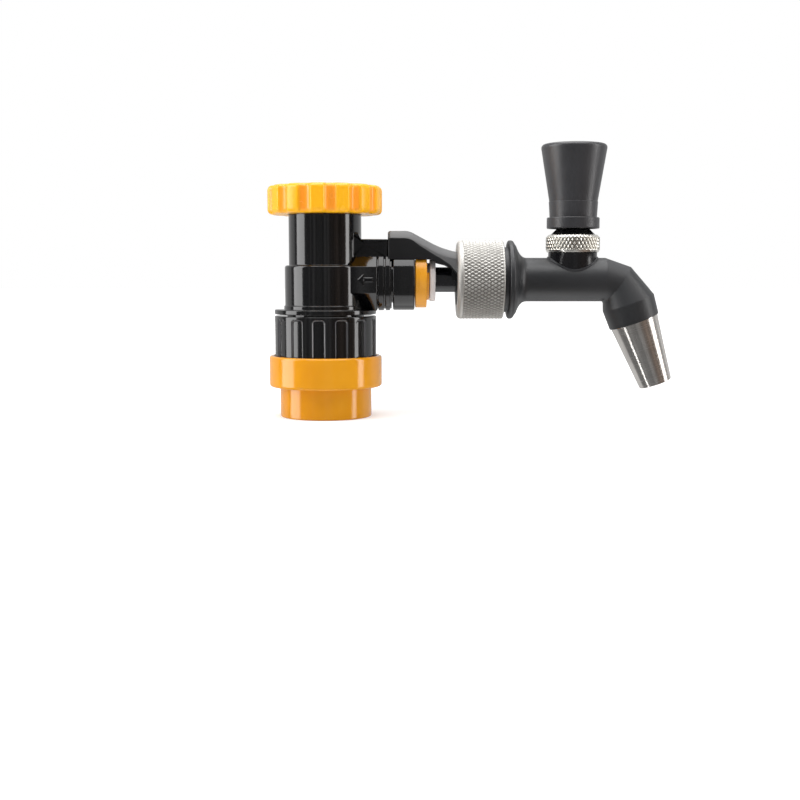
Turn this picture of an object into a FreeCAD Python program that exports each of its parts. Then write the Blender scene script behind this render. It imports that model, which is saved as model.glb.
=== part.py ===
"""Disconnect beer tap: a quick disconnect with flow control that carries a small tap.

The frame has its origin at the mouth of the post socket, +Z up the disconnect and +X
towards the tap. Lengths are in millimetres and angles in degrees.
"""
import FreeCAD, Part
import math
import os
import Sketcher
from FreeCAD import Rotation, Vector

SIZES = [
    # Clearances shared by many fits
    ("fit_gap", 0.05, "radial running clearance"),
    ("seat_gap", 0.1, "clearance between faces that close on each other"),
    # Disconnect body
    ("skirt_radius", 12.4, "outside of the skirt that goes over the post"),
    ("mouth_radius", 10.5, "mouth of the post socket"),
    ("mouth_depth", 4.8, "length of the mouth"),
    ("socket_radius", 10.3, "post socket above the mouth"),
    ("socket_top", 11.0, "top of the post socket"),
    ("seal_bore_radius", 8.0, "bore that the seal of the post closes on"),
    ("seal_bore_top", 7.5, "top of that bore, above the post socket"),
    ("poppet_web", 2.0, "web that the poppet closes on"),
    ("poppet_hole_radius", 3.2, "hole in that web"),
    ("poppet_bore_radius", 4.9, "bore round the poppet"),
    ("poppet_bore_top", -0.1, "ledge under the flow seat, above the flange's underside"),
    ("flange_bottom", -11.0, "underside of the flange, above the outlet's axis"),
    ("flange_radius", 0.0, "flange, beyond the sleeve below it"),
    ("flange_thickness", 1.5, "flange"),
    ("middle_radius", 13.0, "middle barrel"),
    ("middle_top", 4.6, "shoulder of the middle barrel, above the outlet's axis"),
    ("upper_radius", 11.4, "upper barrel"),
    ("upper_top", 22.9, "top of the upper barrel, inside the knob, above the outlet's axis"),
    ("shoulder_chamfer", 1.0, "chamfer of the shoulder"),
    ("guide_radius", 5.6, "bore that guides the needle"),
    ("guide_top", 9.1, "top of the guide bore, above the outlet's axis"),
    ("thread_radius", 8.0, "thread of the flow spindle"),
    # Flow control
    ("flow_seat_height", 3.0, "flow seat"),
    ("flow_hole_radius", 2.5, "hole of the flow seat"),
    ("flow_cone_width", 0.7, "width of the cone of the flow seat"),
    ("flow_cone_height", 1.0, "height of that cone"),
    ("needle_tip", 1.8, "length of the needle's tip below its shoulder"),
    ("needle_guide_bottom", 3.3, "lower end of the needle's guide, above the outlet's axis"),
    ("needle_top", 8.9, "top of the needle, above the outlet's axis"),
    ("needle_groove_bottom", 4.9, "seal groove of the needle, above the outlet's axis"),
    ("ring_groove_width", 1.7, "width of that groove"),
    ("needle_ring_wire", 0.7, "section radius of the needle's seal"),
    ("journal_radius", 2.5, "end of the spindle in the needle"),
    ("journal_length", 2.5, "length of that end in the needle"),
    ("spigot_radius", 4.0, "spigot of the spindle in the knob"),
    ("spigot_length", 4.3, "length of that spigot"),
    ("knob_radius", 18.3, "knob"),
    ("knob_bottom", 20.7, "underside of the knob, above the outlet's axis"),
    ("knob_height", 9.0, "knob"),
    ("knob_edge", 1.5, "rounding of the knob's edges"),
    ("knob_recess_gap", 0.5, "gap round the barrel inside the knob"),
    ("knob_recess_depth", 3.0, "depth of that recess"),
    ("knob_groove_radius", 2.6, "finger grooves"),
    ("knob_groove_depth", 1.2, "depth of the finger grooves"),
    ("knob_grooves", 14, "number of finger grooves"),
    ("knob_groove_turn", 21.8, "direction of the first finger groove"),
    # Ribbed sleeve
    ("sleeve_radius", 16.4, "ribbed sleeve"),
    ("sleeve_top", -0.7, "top of the sleeve, above the flange's underside"),
    ("sleeve_bottom", 6.2, "bottom of the sleeve, above the lower band"),
    ("sleeve_ledge", -5.1, "ledge over the release spring, above the flange's underside"),
    ("sleeve_cavity_radius", 14.9, "cavity round the release spring"),
    ("sleeve_edge", 0.5, "chamfer of the top edge"),
    ("flutes", 14, "number of flutes"),
    ("flute_width", 4.2, "flute"),
    ("flute_top", -1.4, "top of the flutes, above the flange's underside"),
    ("flute_corner", 1.2, "rounding of the upper corners of the flutes"),
    ("flute_depth", 0.7, "flute"),
    ("flute_turn", 21.4, "direction of the first flute"),
    # Release ring, its spring and its stop
    ("ring_low_radius", 14.8, "lower band of the release ring"),
    ("ring_step", 9.8, "height of the lower band"),
    ("ring_high_radius", 1.8, "upper band, beyond the sleeve"),
    ("ring_top", 10.0, "top of the upper band, above the lower band"),
    ("ring_edge", 0.8, "rounding of the bands"),
    ("ring_floor_thickness", 1.7, "floor between the bands"),
    ("ring_cone_turn", 8.53, "slope of the cone that works the balls"),
    ("ring_guide_gap", 0.1, "gap between the ring and the skirt"),
    ("ring_guide_bottom", 9.5, "lower end of the ring's guide"),
    ("ring_shoulder", 2.1, "shoulder that rests on the circlip"),
    ("ring_wall_gap", 0.25, "gap between the upper band and the sleeve"),
    ("release_wire", 0.55, "section radius of the release spring"),
    ("release_coils", 4, "turns of the release spring"),
    ("circlip_thickness", 0.95, "circlip"),
    ("circlip_inside", 11.95, "circlip"),
    ("circlip_outside", 13.9, "circlip"),
    ("circlip_opening", 30.0, "opening of the circlip, in degrees"),
    # Locking balls
    ("ball_radius", 1.5, "locking ball"),
    ("ball_height", 6.5, "height of the balls"),
    ("ball_place", 11.25, "distance of the locked balls from the axis"),
    ("ball_lip", 0.65, "lip of a hole, inside the centre of its ball"),
    ("ball_lip_radius", 1.42, "hole through that lip"),
    ("ball_count", 3, "number of balls"),
    # Poppet
    ("poppet_pin_radius", 1.5, "pin that the post pushes"),
    ("poppet_pin_bottom", 13.5, "lower end of that pin"),
    ("poppet_boss_radius", 3.0, "boss inside the poppet's seal"),
    ("poppet_head_radius", 4.4, "head"),
    ("poppet_head_height", 1.5, "head"),
    ("poppet_spigot_radius", 2.0, "spigot inside the spring"),
    ("poppet_spigot_height", 2.8, "spigot"),
    ("poppet_seal_wire", 0.5, "section radius of the poppet's seal"),
    ("poppet_spring_wire", 0.35, "section radius of the poppet's spring"),
    ("poppet_spring_radius", 3.1, "middle of the wire from the axis"),
    ("poppet_coils", 5, "turns of the poppet's spring"),
    # Outlet
    ("outlet_height", 44.1, "height of the outlet and of the tap"),
    ("octagon_width", 19.7, "octagon across its flats"),
    ("octagon_start", 8.2, "octagon, inside the barrel"),
    ("octagon_end", 16.85, "end of the octagon"),
    ("band_radius", 9.9, "ring band beside the octagon"),
    ("band_groove", 0.5, "depth of the grooves in that band"),
    ("band_end", 4.55, "end of the ring band, beyond the octagon"),
    ("passage_radius", 2.8, "passage from the barrel to the stem"),
    ("stem_stop", 12.0, "stop of the stem"),
    ("stem_guide", 2.0, "length that guides the end of the stem"),
    ("seal_pack_radius", 5.6, "bore round the stem's seals"),
    ("seal_pack_length", 4.0, "length of that bore"),
    ("cap_spigot_radius", 7.4, "spigot of the outlet cap"),
    ("cap_start", 0.4, "visible start of the outlet cap, beyond the ring band"),
    ("cap_end", 6.95, "end of the outlet cap, beyond its visible start"),
    ("cap_radius", 9.75, "outlet cap"),
    ("cap_edge", 0.5, "chamfer of the cap"),
    ("cap_lip", 0.8, "lip that holds the seals in"),
    ("cap_hollow", 0.8, "straight hollow behind that lip"),
    ("cap_mouth", 3.0, "straight mouth round the collet"),
    ("collet_inset", 2.0, "distance from the seals to the collet"),
    ("jaws_inset", 4.0, "end of the jaws inside the cap"),
    ("jaw_rise", 0.6, "slope up to the ridge of the jaws"),
    ("jaw_ridge", 0.8, "ridge of the jaws"),
    ("collet_edge", 0.4, "chamfer of the collet's flange"),
    ("collet_neck_radius", 5.35, "collet"),
    ("collet_head_radius", 6.1, "jaws of the collet"),
    ("collet_end", 6.65, "outer end of the collet, beyond the cap"),
    ("collet_flange_radius", 6.97, "flange of the collet"),
    ("collet_flange", 1.8, "thickness of that flange"),
    ("collet_slot", 1.0, "slots between the jaws"),
    ("clip_radius", 8.97, "lock clip"),
    ("clip_hub_radius", 6.5, "hub of the lock clip"),
    ("clip_hub", 0.8, "thickness of that hub"),
    ("clip_tips", 5.6, "tips of the clip above the outlet's axis"),
    ("clip_hub_tips", 2.3, "tips of its hub above that axis"),
    ("stem_radius", 4.0, "stem, an eight millimetre tube"),
    ("stem_bore", 2.7, "bore of the stem"),
    ("stem_seal_wire", 0.75, "section radius of the seals in the outlet"),
    ("stem_end", 6.4, "end of the stem inside the tap, beyond the tail's end"),
    # Lug and support arm
    ("lug_half_width", 6.7, "lug"),
    ("lug_top", 12.8, "lug, above the outlet's axis"),
    ("lug_bottom", 6.5, "lug, above the outlet's axis"),
    ("lug_root", 1.8, "height of the pointed root on the barrel"),
    ("arm_start", 3.35, "face of the arm at the lug, beyond the octagon"),
    ("tenon_half_width", 6.0, "tenon in the arm"),
    ("tenon_length", 8.3, "tenon"),
    ("arch_radius", 10.2, "arch under the arm, round the outlet"),
    ("arch_end", -1.4, "end of the arch, beyond the collet"),
    ("arch_cone", 4.0, "cone from the arch to the stem"),
    ("stem_way", 1.0, "room round the stem beyond that cone"),
    ("arm_width", 15.0, "arm"),
    ("arm_top", 15.4, "arm, above the outlet's axis"),
    ("arm_edge", 2.4, "rounding of the arm's upper edges"),
    ("arm_corner", 0.8, "rounding of its face at the lug"),
    ("slope_turn", 28.6, "slope of the arm's top, in degrees"),
    ("saddle_turn", 10.0, "slope where the top meets the nut, in degrees"),
    ("high_bend", 6.0, "bend from the flat top to the slope"),
    ("low_bend", 28.0, "bend from the slope to the saddle"),
    ("saddle_radius", 8.8, "saddle over the stem"),
    ("saddle_start", -1.65, "saddle, beyond the nut's start"),
    ("foot_drop", 0.4, "foot of the arm below the arch's flank"),
    ("foot_end", 0.7, "end of the level foot before the arch's end"),
    ("foot_slope", 2.1, "end of the first slope beyond the arch's end"),
    ("foot_slope_drop", 1.3, "drop of the first slope"),
    ("foot_shelf_inset", 2.0, "end of the shelf before the saddle"),
    ("foot_shelf_drop", 1.9, "drop at the end of the shelf"),
    ("foot_web_inset", 0.3, "start of the web before the saddle"),
    ("foot_web_drop", 2.8, "drop at the start of the web"),
    ("foot_web_height", 1.6, "web above the outlet's axis at the nut"),
    ("shank_radius", 8.0, "shank through the coupling nut"),
    ("shank_end", 5.95, "end of the shank, beyond the nut's start"),
    ("shank_bore_gap", 0.1, "gap round the stem in the shank"),
    # Coupling nut
    ("nut_start", 6.85, "nut, beyond the collet"),
    ("nut_end", 15.45, "nut, beyond the nut's start"),
    ("nut_radius", 12.6, "nut, over its knurl"),
    ("nut_edge", 1.4, "rounded edge at the arm"),
    ("nut_chamfer", 0.6, "chamfer at the tap"),
    ("nut_wall", 3.0, "wall that bears on the snap ring"),
    ("nut_shank_gap", 0.2, "gap round the shank"),
    ("tail_thread_radius", 10.4, "half-inch pipe thread of the tap's tail"),
    ("snap_ring_thickness", 1.1, "snap ring"),
    ("snap_ring_radius", 9.6, "snap ring"),
    ("snap_groove_depth", 0.6, "groove of the snap ring"),
    ("snap_ring_opening", 30.0, "opening of the snap ring, in degrees"),
    # Tap body
    ("tail_start", 7.45, "end of the tail, beyond the nut's start"),
    ("tail_seal_radius", 7.8, "washer between shank and tail"),
    ("tap_flange_start", 0.9, "flange of the tap, beyond the nut"),
    ("tap_flange", 2.6, "thickness of that flange"),
    ("tap_flange_radius", 12.57, "flange"),
    ("tap_edge", 0.43, "chamfers of the flange and of the tail"),
    ("flare_radius", 4.4, "flare from the flange to the barrel"),
    ("barrel_radius", 7.0, "barrel of the tap"),
    ("barrel_bore", 5.0, "bore of the barrel"),
    ("barrel_seat", 7.37, "start of the cone that the shuttle seals on, beyond the neck's axis"),
    ("beer_way_radius", 3.0, "way from the seat to the spout"),
    ("bush_start", 2.3, "bush that guides the stem, beyond the tail's end"),
    ("bush_end", 10.3, "bush, beyond the tail's end"),
    ("tail_ring_wire", 0.45, "section radius of the seal in the tail"),
    ("neck_place", 21.0, "axis of the neck, the lever and the handle, beyond the tap's flange"),
    ("neck_radius", 7.8, "neck"),
    ("neck_depth", 5.6, "half depth of the neck where it meets the barrel"),
    ("neck_top", 8.7, "visible top of the neck, above the outlet's axis"),
    ("neck_thread_radius", 7.55, "thread under the bonnet"),
    ("neck_thread_top", 12.9, "top of that thread, above the outlet's axis"),
    ("ball_bore", 6.35, "bore round the lever's ball"),
    ("ball_bore_bottom", 6.3, "floor of that bore, above the outlet's axis"),
    ("lever_way_radius", 4.4, "way for the lever through that floor"),
    # Elbow and spout
    ("elbow_start", 4.4, "start of the elbow beyond the neck's axis"),
    ("elbow_crease", 9.8, "crease on the underside beyond the neck's axis"),
    ("crease_lean", 0.7, "top of the first section beyond the crease"),
    ("first_step_place", 9.3, "top of the second section beyond the crease"),
    ("first_step_drop", 3.5, "top of the second section below the barrel's top"),
    ("first_step_foot", 0.25, "foot of the second section beyond the crease"),
    ("first_step_foot_drop", 0.7, "foot of the second section below the barrel"),
    ("first_step_swell", 0.5, "second section wider than the barrel"),
    ("second_step_place", 16.2, "top of the third section beyond the crease"),
    ("second_step_drop", 11.1, "top of the third section below the barrel's top"),
    ("second_step_foot", 0.3, "foot of the third section beyond the crease"),
    ("second_step_foot_drop", 2.6, "foot of the third section below the barrel"),
    ("second_step_inset", 0.1, "third section narrower than the end of the elbow"),
    ("spout_turn", 20.2, "lean of the spout from the vertical"),
    ("spout_place_x", 20.2, "end of the elbow, beyond the neck's axis"),
    ("spout_place_z", -13.3, "end of the elbow, above the outlet's axis"),
    ("collar_radius", 8.2, "end of the elbow"),
    ("spout_socket_radius", 6.0, "socket of the spout tip"),
    ("spout_socket_depth", 6.5, "depth of that socket"),
    ("spout_way_radius", 4.2, "way above that socket"),
    ("tip_top_radius", 7.8, "spout tip"),
    ("tip_end_radius", 5.3, "spout tip"),
    ("tip_bore", 4.4, "bore of the spout tip"),
    ("tip_length", 21.5, "spout tip"),
    ("tip_ring_wire", 0.48, "section radius of the tip's seal"),
    # Lever, seats, bonnet and handle
    ("lever_ball_radius", 6.2, "ball of the lever"),
    ("lever_ball_height", 11.3, "centre of that ball, above the outlet's axis"),
    ("lever_arm_radius", 1.5, "arm into the shuttle"),
    ("lever_tip_radius", 1.9, "tip of that arm"),
    ("lever_shaft_radius", 2.0, "shaft into the handle"),
    ("lever_shaft_top", 24.9, "top of that shaft, above the outlet's axis"),
    ("lower_seat_top", 7.9, "lower seat of the ball, above the outlet's axis"),
    ("lower_seat_radius", 4.5, "hole of the lower seat"),
    ("seat_flange", 0.4, "flange of the upper seat"),
    ("dome_bottom", 14.3, "visible bottom of the upper seat, above the outlet's axis"),
    ("dome_height", 2.0, "visible height of the upper seat"),
    ("dome_radius", 7.2, "upper seat"),
    ("dome_top_radius", 5.1, "upper seat"),
    ("dome_round", 9.0, "radius of its rounding"),
    ("dome_hole_radius", 4.4, "hole of the upper seat"),
    ("bonnet_radius", 8.65, "bonnet nut, over its knurl"),
    ("bonnet_chamfer", 0.9, "chamfers of the bonnet nut"),
    ("skirt_ring_radius", 8.4, "ring at the foot of the handle"),
    ("skirt_recess_radius", 7.6, "recess in the foot of the handle"),
    ("skirt_recess_depth", 2.2, "recess"),
    ("handle_bottom", 16.3, "handle, above the outlet's axis"),
    ("skirt_ring_height", 3.5, "ring at the foot"),
    ("handle_neck_radius", 7.53, "neck of the handle above the ring"),
    ("handle_neck_top_radius", 7.82, "neck of the handle at the fine step"),
    ("handle_step_height", 24.8, "fine step, above the outlet's axis"),
    ("handle_step", 0.15, "fine step"),
    ("handle_top", 42.9, "handle, above the outlet's axis"),
    ("handle_top_radius", 10.65, "handle"),
    ("handle_edge", 1.2, "rounding of the top"),
    ("handle_slant", 0.15, "shift of that rounding along the cone"),
    ("insert_radius", 4.0, "threaded insert"),
    ("insert_length", 9.5, "threaded insert"),
    # Shuttle
    ("shuttle_gap", 0.1, "gap between shuttle and barrel"),
    ("shuttle_start", -9.6, "shuttle, beyond the neck's axis"),
    ("shuttle_flat", 3.9, "flats that let the beer past"),
    ("shuttle_shoulder", -0.77, "shoulder behind the front seal, beyond that cone's start"),
    ("shuttle_neck_radius", 2.85, "neck inside the front seal"),
    ("shuttle_nose_radius", 3.2, "nose that holds the front seal"),
    ("shuttle_nose", 0.45, "thickness of the nose"),
    ("front_seal_wire", 0.8, "section radius of the front seal"),
    ("shuttle_slot_half", 2.2, "half width of the slot for the lever's tip"),
    ("shuttle_slot_front", 3.6, "front of the slot, where the arm leans"),
]

doc = FreeCAD.newDocument("disconnect_beer_tap")
sheet = doc.addObject("Spreadsheet::Sheet", "Sizes")


class Measure:
    """A value in millimetres or degrees, together with the expression that gives it."""

    def __init__(self, value, text=None):
        self.value = float(value)
        self.text = text or repr(value)

    def join(self, other, sign, value):
        other = measured(other)
        return Measure(value, f"({self.text} {sign} {other.text})")

    def __add__(self, other):
        return self.join(other, "+", self.value + measured(other).value)

    def __sub__(self, other):
        return self.join(other, "-", self.value - measured(other).value)

    def __mul__(self, other):
        return self.join(other, "*", self.value * measured(other).value)

    def __truediv__(self, other):
        return self.join(other, "/", self.value / measured(other).value)

    def __neg__(self):
        return Measure(-self.value, f"(0 - {self.text})")


def measured(value):
    """A plain number or a measure, as a measure."""
    return value if isinstance(value, Measure) else Measure(value)


FULL_TURN = Measure(360)


def root(value):
    """Square root."""
    return Measure(math.sqrt(value.value), f"sqrt({value.text})")


def sine(turn):
    """Sine of an angle in degrees."""
    return Measure(math.sin(math.radians(turn.value)), f"sin({turn.text})")


def cosine(turn):
    """Cosine of an angle in degrees."""
    return Measure(math.cos(math.radians(turn.value)), f"cos({turn.text})")


def leg(radius, offset):
    """Half chord of a circle at a distance from its centre."""
    return root(radius * radius - measured(offset) * offset)


class Sizes:
    """The cells of the sheet by their names."""


def fill_sheet():
    """Writes each size with its alias and meaning, one to a row."""
    sizes = Sizes()
    for row, (alias, value, meaning) in enumerate(SIZES, start=1):
        sheet.set(f"A{row}", alias)
        sheet.set(f"B{row}", str(value))
        sheet.set(f"C{row}", meaning)
        sheet.setAlias(f"B{row}", alias)
        setattr(sizes, alias, Measure(value, f"Sizes.{alias}"))
    doc.recompute()
    return sizes


S = fill_sheet()


def measure_from(base, *names):
    """Places that the sheet gives from another place, as places from the origin."""
    for name in names:
        setattr(S, name, base + getattr(S, name))


measure_from(S.socket_top, "seal_bore_top")
measure_from(S.ring_step, "ring_top", "sleeve_bottom")
measure_from(S.sleeve_radius, "ring_high_radius", "flange_radius")
measure_from(
    S.outlet_height,
    "flange_bottom", "middle_top", "upper_top", "guide_top", "needle_guide_bottom",
    "needle_groove_bottom", "needle_top", "knob_bottom", "lug_bottom", "lug_top", "arm_top",
    "neck_top", "neck_thread_top", "ball_bore_bottom", "lever_ball_height", "lower_seat_top",
    "dome_bottom", "handle_bottom", "lever_shaft_top", "handle_step_height", "handle_top",
    "spout_place_z")
measure_from(S.flange_bottom, "poppet_bore_top", "sleeve_top", "sleeve_ledge", "flute_top")
measure_from(S.octagon_end, "arm_start", "band_end")
measure_from(S.band_end, "cap_start")
measure_from(S.cap_start, "cap_end")
measure_from(S.cap_end, "collet_end")
measure_from(S.collet_end, "arch_end", "nut_start")
measure_from(S.nut_start, "saddle_start", "shank_end", "tail_start", "nut_end")
measure_from(S.nut_end, "tap_flange_start")
measure_from(S.tail_start, "bush_start", "bush_end", "stem_end")
measure_from(S.tap_flange_start, "neck_place")
measure_from(S.neck_place, "shuttle_start", "barrel_seat", "spout_place_x")
measure_from(S.barrel_seat, "shuttle_shoulder")


def bind(thing, name, value):
    """Ties a property to its expression, or sets it where it is a plain number."""
    if isinstance(value, Measure):
        thing.setExpression(name, value.text)
    else:
        thing.setExpression(name, repr(value))


def new_body(name):
    """An empty body for one piece."""
    body = doc.addObject("PartDesign::Body", name)
    body.Label = name
    return body


def new_sketch(body, role, shift=(0, 0, 0)):
    """An empty sketch on one of the body's own origin planes, shifted in the plane's axes."""
    plane = next(feature for feature in body.Origin.OriginFeatures if feature.Role == role)
    sketch = body.newObject("Sketcher::SketchObject", f"{body.Name}_outline")
    sketch.AttachmentSupport = [(plane, "")]
    sketch.MapMode = "FlatFace"
    for axis, value in zip("xyz", shift):
        if isinstance(value, Measure) or value:
            bind(sketch, f"AttachmentOffset.Base.{axis}", value)
    return sketch


def place_point(sketch, index, point, place):
    """Holds one point of the outline at its two coordinates."""
    for kind, line, value in (("DistanceX", -2, place[0]), ("DistanceY", -1, place[1])):
        if not isinstance(value, Measure) and value == 0:
            sketch.addConstraint(Sketcher.Constraint("PointOnObject", index, point, line))
            continue
        value = measured(value)
        number = sketch.addConstraint(Sketcher.Constraint(kind, index, point, value.value))
        sketch.setExpression(f"Constraints[{number}]", value.text)


def arc_between(start, end, radius):
    """The short arc from start to end: anticlockwise for a positive radius."""
    chord = end - start
    half = chord.Length / 2
    side = 1 if radius > 0 else -1
    rise = math.sqrt(max(radius * radius - half * half, 0))
    across = Vector(-chord.y, chord.x, 0).normalize()
    centre = (start + end) / 2 + across * (rise * side)
    angles = [math.atan2(point.y - centre.y, point.x - centre.x) for point in (start, end)]
    if side < 0:
        angles.reverse()
    if angles[1] < angles[0]:
        angles[1] += 2 * math.pi
    circle = Part.Circle(centre, Vector(0, 0, 1), abs(radius))
    return Part.ArcOfCircle(circle, angles[0], angles[1])


def outline(sketch, points):
    """A closed outline; a third value is the signed radius of the arc that leaves its point."""
    count = len(points)
    places = [Vector(measured(point[0]).value, measured(point[1]).value, 0) for point in points]
    ends = []
    base = sketch.GeometryCount
    for index, point in enumerate(points):
        start, end = places[index], places[(index + 1) % count]
        if len(point) == 3:
            radius = measured(point[2])
            sketch.addGeometry(arc_between(start, end, radius.value), False)
            ends.append((2, 1) if radius.value < 0 else (1, 2))
        else:
            sketch.addGeometry(Part.LineSegment(start, end), False)
            ends.append((1, 2))
    for index in range(count):
        following = (index + 1) % count
        joint = (base + index, ends[index][1], base + following, ends[following][0])
        sketch.addConstraint(Sketcher.Constraint("Coincident", *joint))
    for index, point in enumerate(points):
        place_point(sketch, base + index, ends[index][0], point)
        if len(point) == 3:
            radius = measured(point[2])
            bend = Sketcher.Constraint("Radius", base + index, abs(radius.value))
            number = sketch.addConstraint(bend)
            sketch.setExpression(f"Constraints[{number}]", f"abs({radius.text})")


def circle(sketch, place, radius):
    """One circle, held by its centre and its radius."""
    centre = Vector(measured(place[0]).value, measured(place[1]).value, 0)
    index = sketch.addGeometry(Part.Circle(centre, Vector(0, 0, 1), radius.value), False)
    place_point(sketch, index, 3, place)
    number = sketch.addConstraint(Sketcher.Constraint("Radius", index, radius.value))
    sketch.setExpression(f"Constraints[{number}]", radius.text)


def turn(body, points, along="Z", place=0, cut=False, angle=None, midplane=False):
    """Turns an outline about Z or X: (radius, height) about Z, (place, radius) about X.

    place is the distance of that axis from the origin: along X for Z, up Z for X.
    """
    shift = (place, 0, 0) if along == "Z" else (0, place, 0)
    sketch = new_sketch(body, "XZ_Plane", shift)
    outline(sketch, points)
    kind = "PartDesign::Groove" if cut else "PartDesign::Revolution"
    feature = body.newObject(kind, f"{body.Name}_turned")
    feature.Profile = sketch
    feature.ReferenceAxis = (sketch, ["V_Axis" if along == "Z" else "H_Axis"])
    feature.Midplane = midplane
    if angle is None:
        feature.Angle = 360
    else:
        bind(feature, "Angle", angle)
    return feature


def extrude(body, sketch, length, cut=False, flip=False, both=False):
    """A pad, or a pocket for cut; flip turns its direction and both goes half each way."""
    kind = "PartDesign::Pocket" if cut else "PartDesign::Pad"
    feature = body.newObject(kind, f"{body.Name}_{'cut' if cut else 'pad'}")
    feature.Profile = sketch
    bind(feature, "Length", length)
    feature.Reversed = flip
    if both:
        feature.SideType = "Symmetric"
    return feature


def own_axis(body, role):
    """One of the body's own origin axes."""
    line = next(feature for feature in body.Origin.OriginFeatures if feature.Role == role)
    return (line, [""])


def ring_pattern(body, originals, axis, count, angle=360):
    """Repeats features round an axis."""
    pattern = body.newObject("PartDesign::PolarPattern", f"{body.Name}_pattern")
    pattern.Originals = originals
    pattern.Axis = axis
    pattern.Angle = angle
    bind(pattern, "Occurrences", count)
    body.Tip = pattern
    return pattern


def torus(name, major, minor, centre, along="Z"):
    """A seal of round section about an axis along Z or X."""
    seal = doc.addObject("Part::Torus", name)
    seal.Label = name
    bind(seal, "Radius1", major)
    bind(seal, "Radius2", minor)
    place_part(seal, centre, 90 if along == "X" else 0)
    return seal


def place_part(thing, centre, lean=0):
    """Puts a piece at its place, leaning about +Y by an angle."""
    if isinstance(lean, Measure) or lean:
        thing.Placement.Rotation = Rotation(Vector(0, 1, 0), measured(lean).value)
        bind(thing, "Placement.Rotation.Angle", lean)
    for axis, value in zip("xyz", centre):
        if isinstance(value, Measure) or value:
            bind(thing, f"Placement.Base.{axis}", value)


def coil_spring(name, radius, wire, bottom, top, coils):
    """A round wire swept along a helix between two faces."""
    path = doc.addObject("Part::Helix", f"{name}_path")
    bind(path, "Radius", radius)
    bind(path, "Height", top - bottom - wire * 2)
    bind(path, "Pitch", (top - bottom - wire * 2) / coils)
    place_part(path, (0, 0, bottom + wire))
    section = doc.addObject("Part::Circle", f"{name}_wire")
    bind(section, "Radius", wire)
    section.Placement.Rotation = Rotation(Vector(1, 0, 0), 90)
    bind(section, "Placement.Base.x", radius)
    bind(section, "Placement.Base.z", bottom + wire)
    spring = doc.addObject("Part::Sweep", name)
    spring.Label = name
    spring.Sections = [section]
    spring.Spine = path
    spring.Solid = True
    spring.Frenet = True
    return spring


# Flow control

def flow_knob():
    """Scalloped knob with a recess over the barrel and a blind hole for the spindle."""
    body = new_body("flow_knob")
    top = S.knob_bottom + S.knob_height
    ceiling = S.knob_bottom + S.knob_recess_depth
    recess = S.upper_radius + S.knob_recess_gap
    hole = S.spigot_radius + S.fit_gap
    hole_top = ceiling + S.spigot_length + S.seat_gap
    turn(body, [
        (hole, ceiling), (recess, ceiling), (recess, S.knob_bottom),
        (S.knob_radius - S.knob_edge, S.knob_bottom, S.knob_edge),
        (S.knob_radius, S.knob_bottom + S.knob_edge),
        (S.knob_radius, top - S.knob_edge, S.knob_edge),
        (S.knob_radius - S.knob_edge, top), (0, top), (0, hole_top), (hole, hole_top),
    ])
    sketch = new_sketch(body, "XY_Plane", (0, 0, top))
    centre = S.knob_radius - S.knob_groove_depth + S.knob_groove_radius
    place = (centre * cosine(S.knob_groove_turn), centre * sine(S.knob_groove_turn))
    circle(sketch, place, S.knob_groove_radius)
    groove = extrude(body, sketch, S.knob_height, cut=True)
    ring_pattern(body, [groove], own_axis(body, "Z_Axis"), S.knob_grooves)


def flow_spindle():
    """Threaded spindle: journal in the needle, thread in the barrel, spigot in the knob."""
    ceiling = S.knob_bottom + S.knob_recess_depth
    bottom = S.guide_top + S.seat_gap * 2
    journal = S.needle_top - S.journal_length
    turn(new_body("flow_spindle"), [
        (0, journal), (S.journal_radius, journal), (S.journal_radius, bottom),
        (S.thread_radius, bottom), (S.thread_radius, ceiling), (S.spigot_radius, ceiling),
        (S.spigot_radius, ceiling + S.spigot_length), (0, ceiling + S.spigot_length),
    ])


def flow_needle():
    """Valve plug with a cone for the flow seat and a groove for its seal."""
    mouth = S.flow_hole_radius + S.flow_cone_width - S.seat_gap
    slope = S.flow_cone_width / S.flow_cone_height
    seat_top = S.poppet_bore_top + S.flow_seat_height
    guide = S.guide_radius - S.fit_gap * 2
    groove = S.guide_radius - S.fit_gap - S.needle_ring_wire * 2 - S.fit_gap
    groove_top = S.needle_groove_bottom + S.ring_groove_width
    socket = S.journal_radius + S.fit_gap
    floor = S.needle_top - S.journal_length - S.seat_gap
    turn(new_body("flow_needle"), [
        (0, seat_top - S.needle_tip), (mouth - slope * S.needle_tip, seat_top - S.needle_tip),
        (mouth, seat_top), (mouth, S.needle_guide_bottom), (guide, S.needle_guide_bottom),
        (guide, S.needle_groove_bottom), (groove, S.needle_groove_bottom), (groove, groove_top),
        (guide, groove_top), (guide, S.needle_top), (socket, S.needle_top),
        (socket, floor), (0, floor),
    ])


def needle_seal():
    """Seal of round section in the needle's groove."""
    middle = S.guide_radius - S.fit_gap - S.needle_ring_wire
    height = S.needle_groove_bottom + S.ring_groove_width / 2
    torus("needle_o_ring", middle, S.needle_ring_wire, (0, 0, height))


def flow_seat():
    """Seat ring that drops on the ledge over the poppet's bore."""
    top = S.poppet_bore_top + S.flow_seat_height
    turn(new_body("flow_seat"), [
        (S.flow_hole_radius, S.poppet_bore_top),
        (S.guide_radius - S.fit_gap, S.poppet_bore_top), (S.guide_radius - S.fit_gap, top),
        (S.flow_hole_radius + S.flow_cone_width, top),
        (S.flow_hole_radius, top - S.flow_cone_height),
    ])


# Disconnect body

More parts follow.
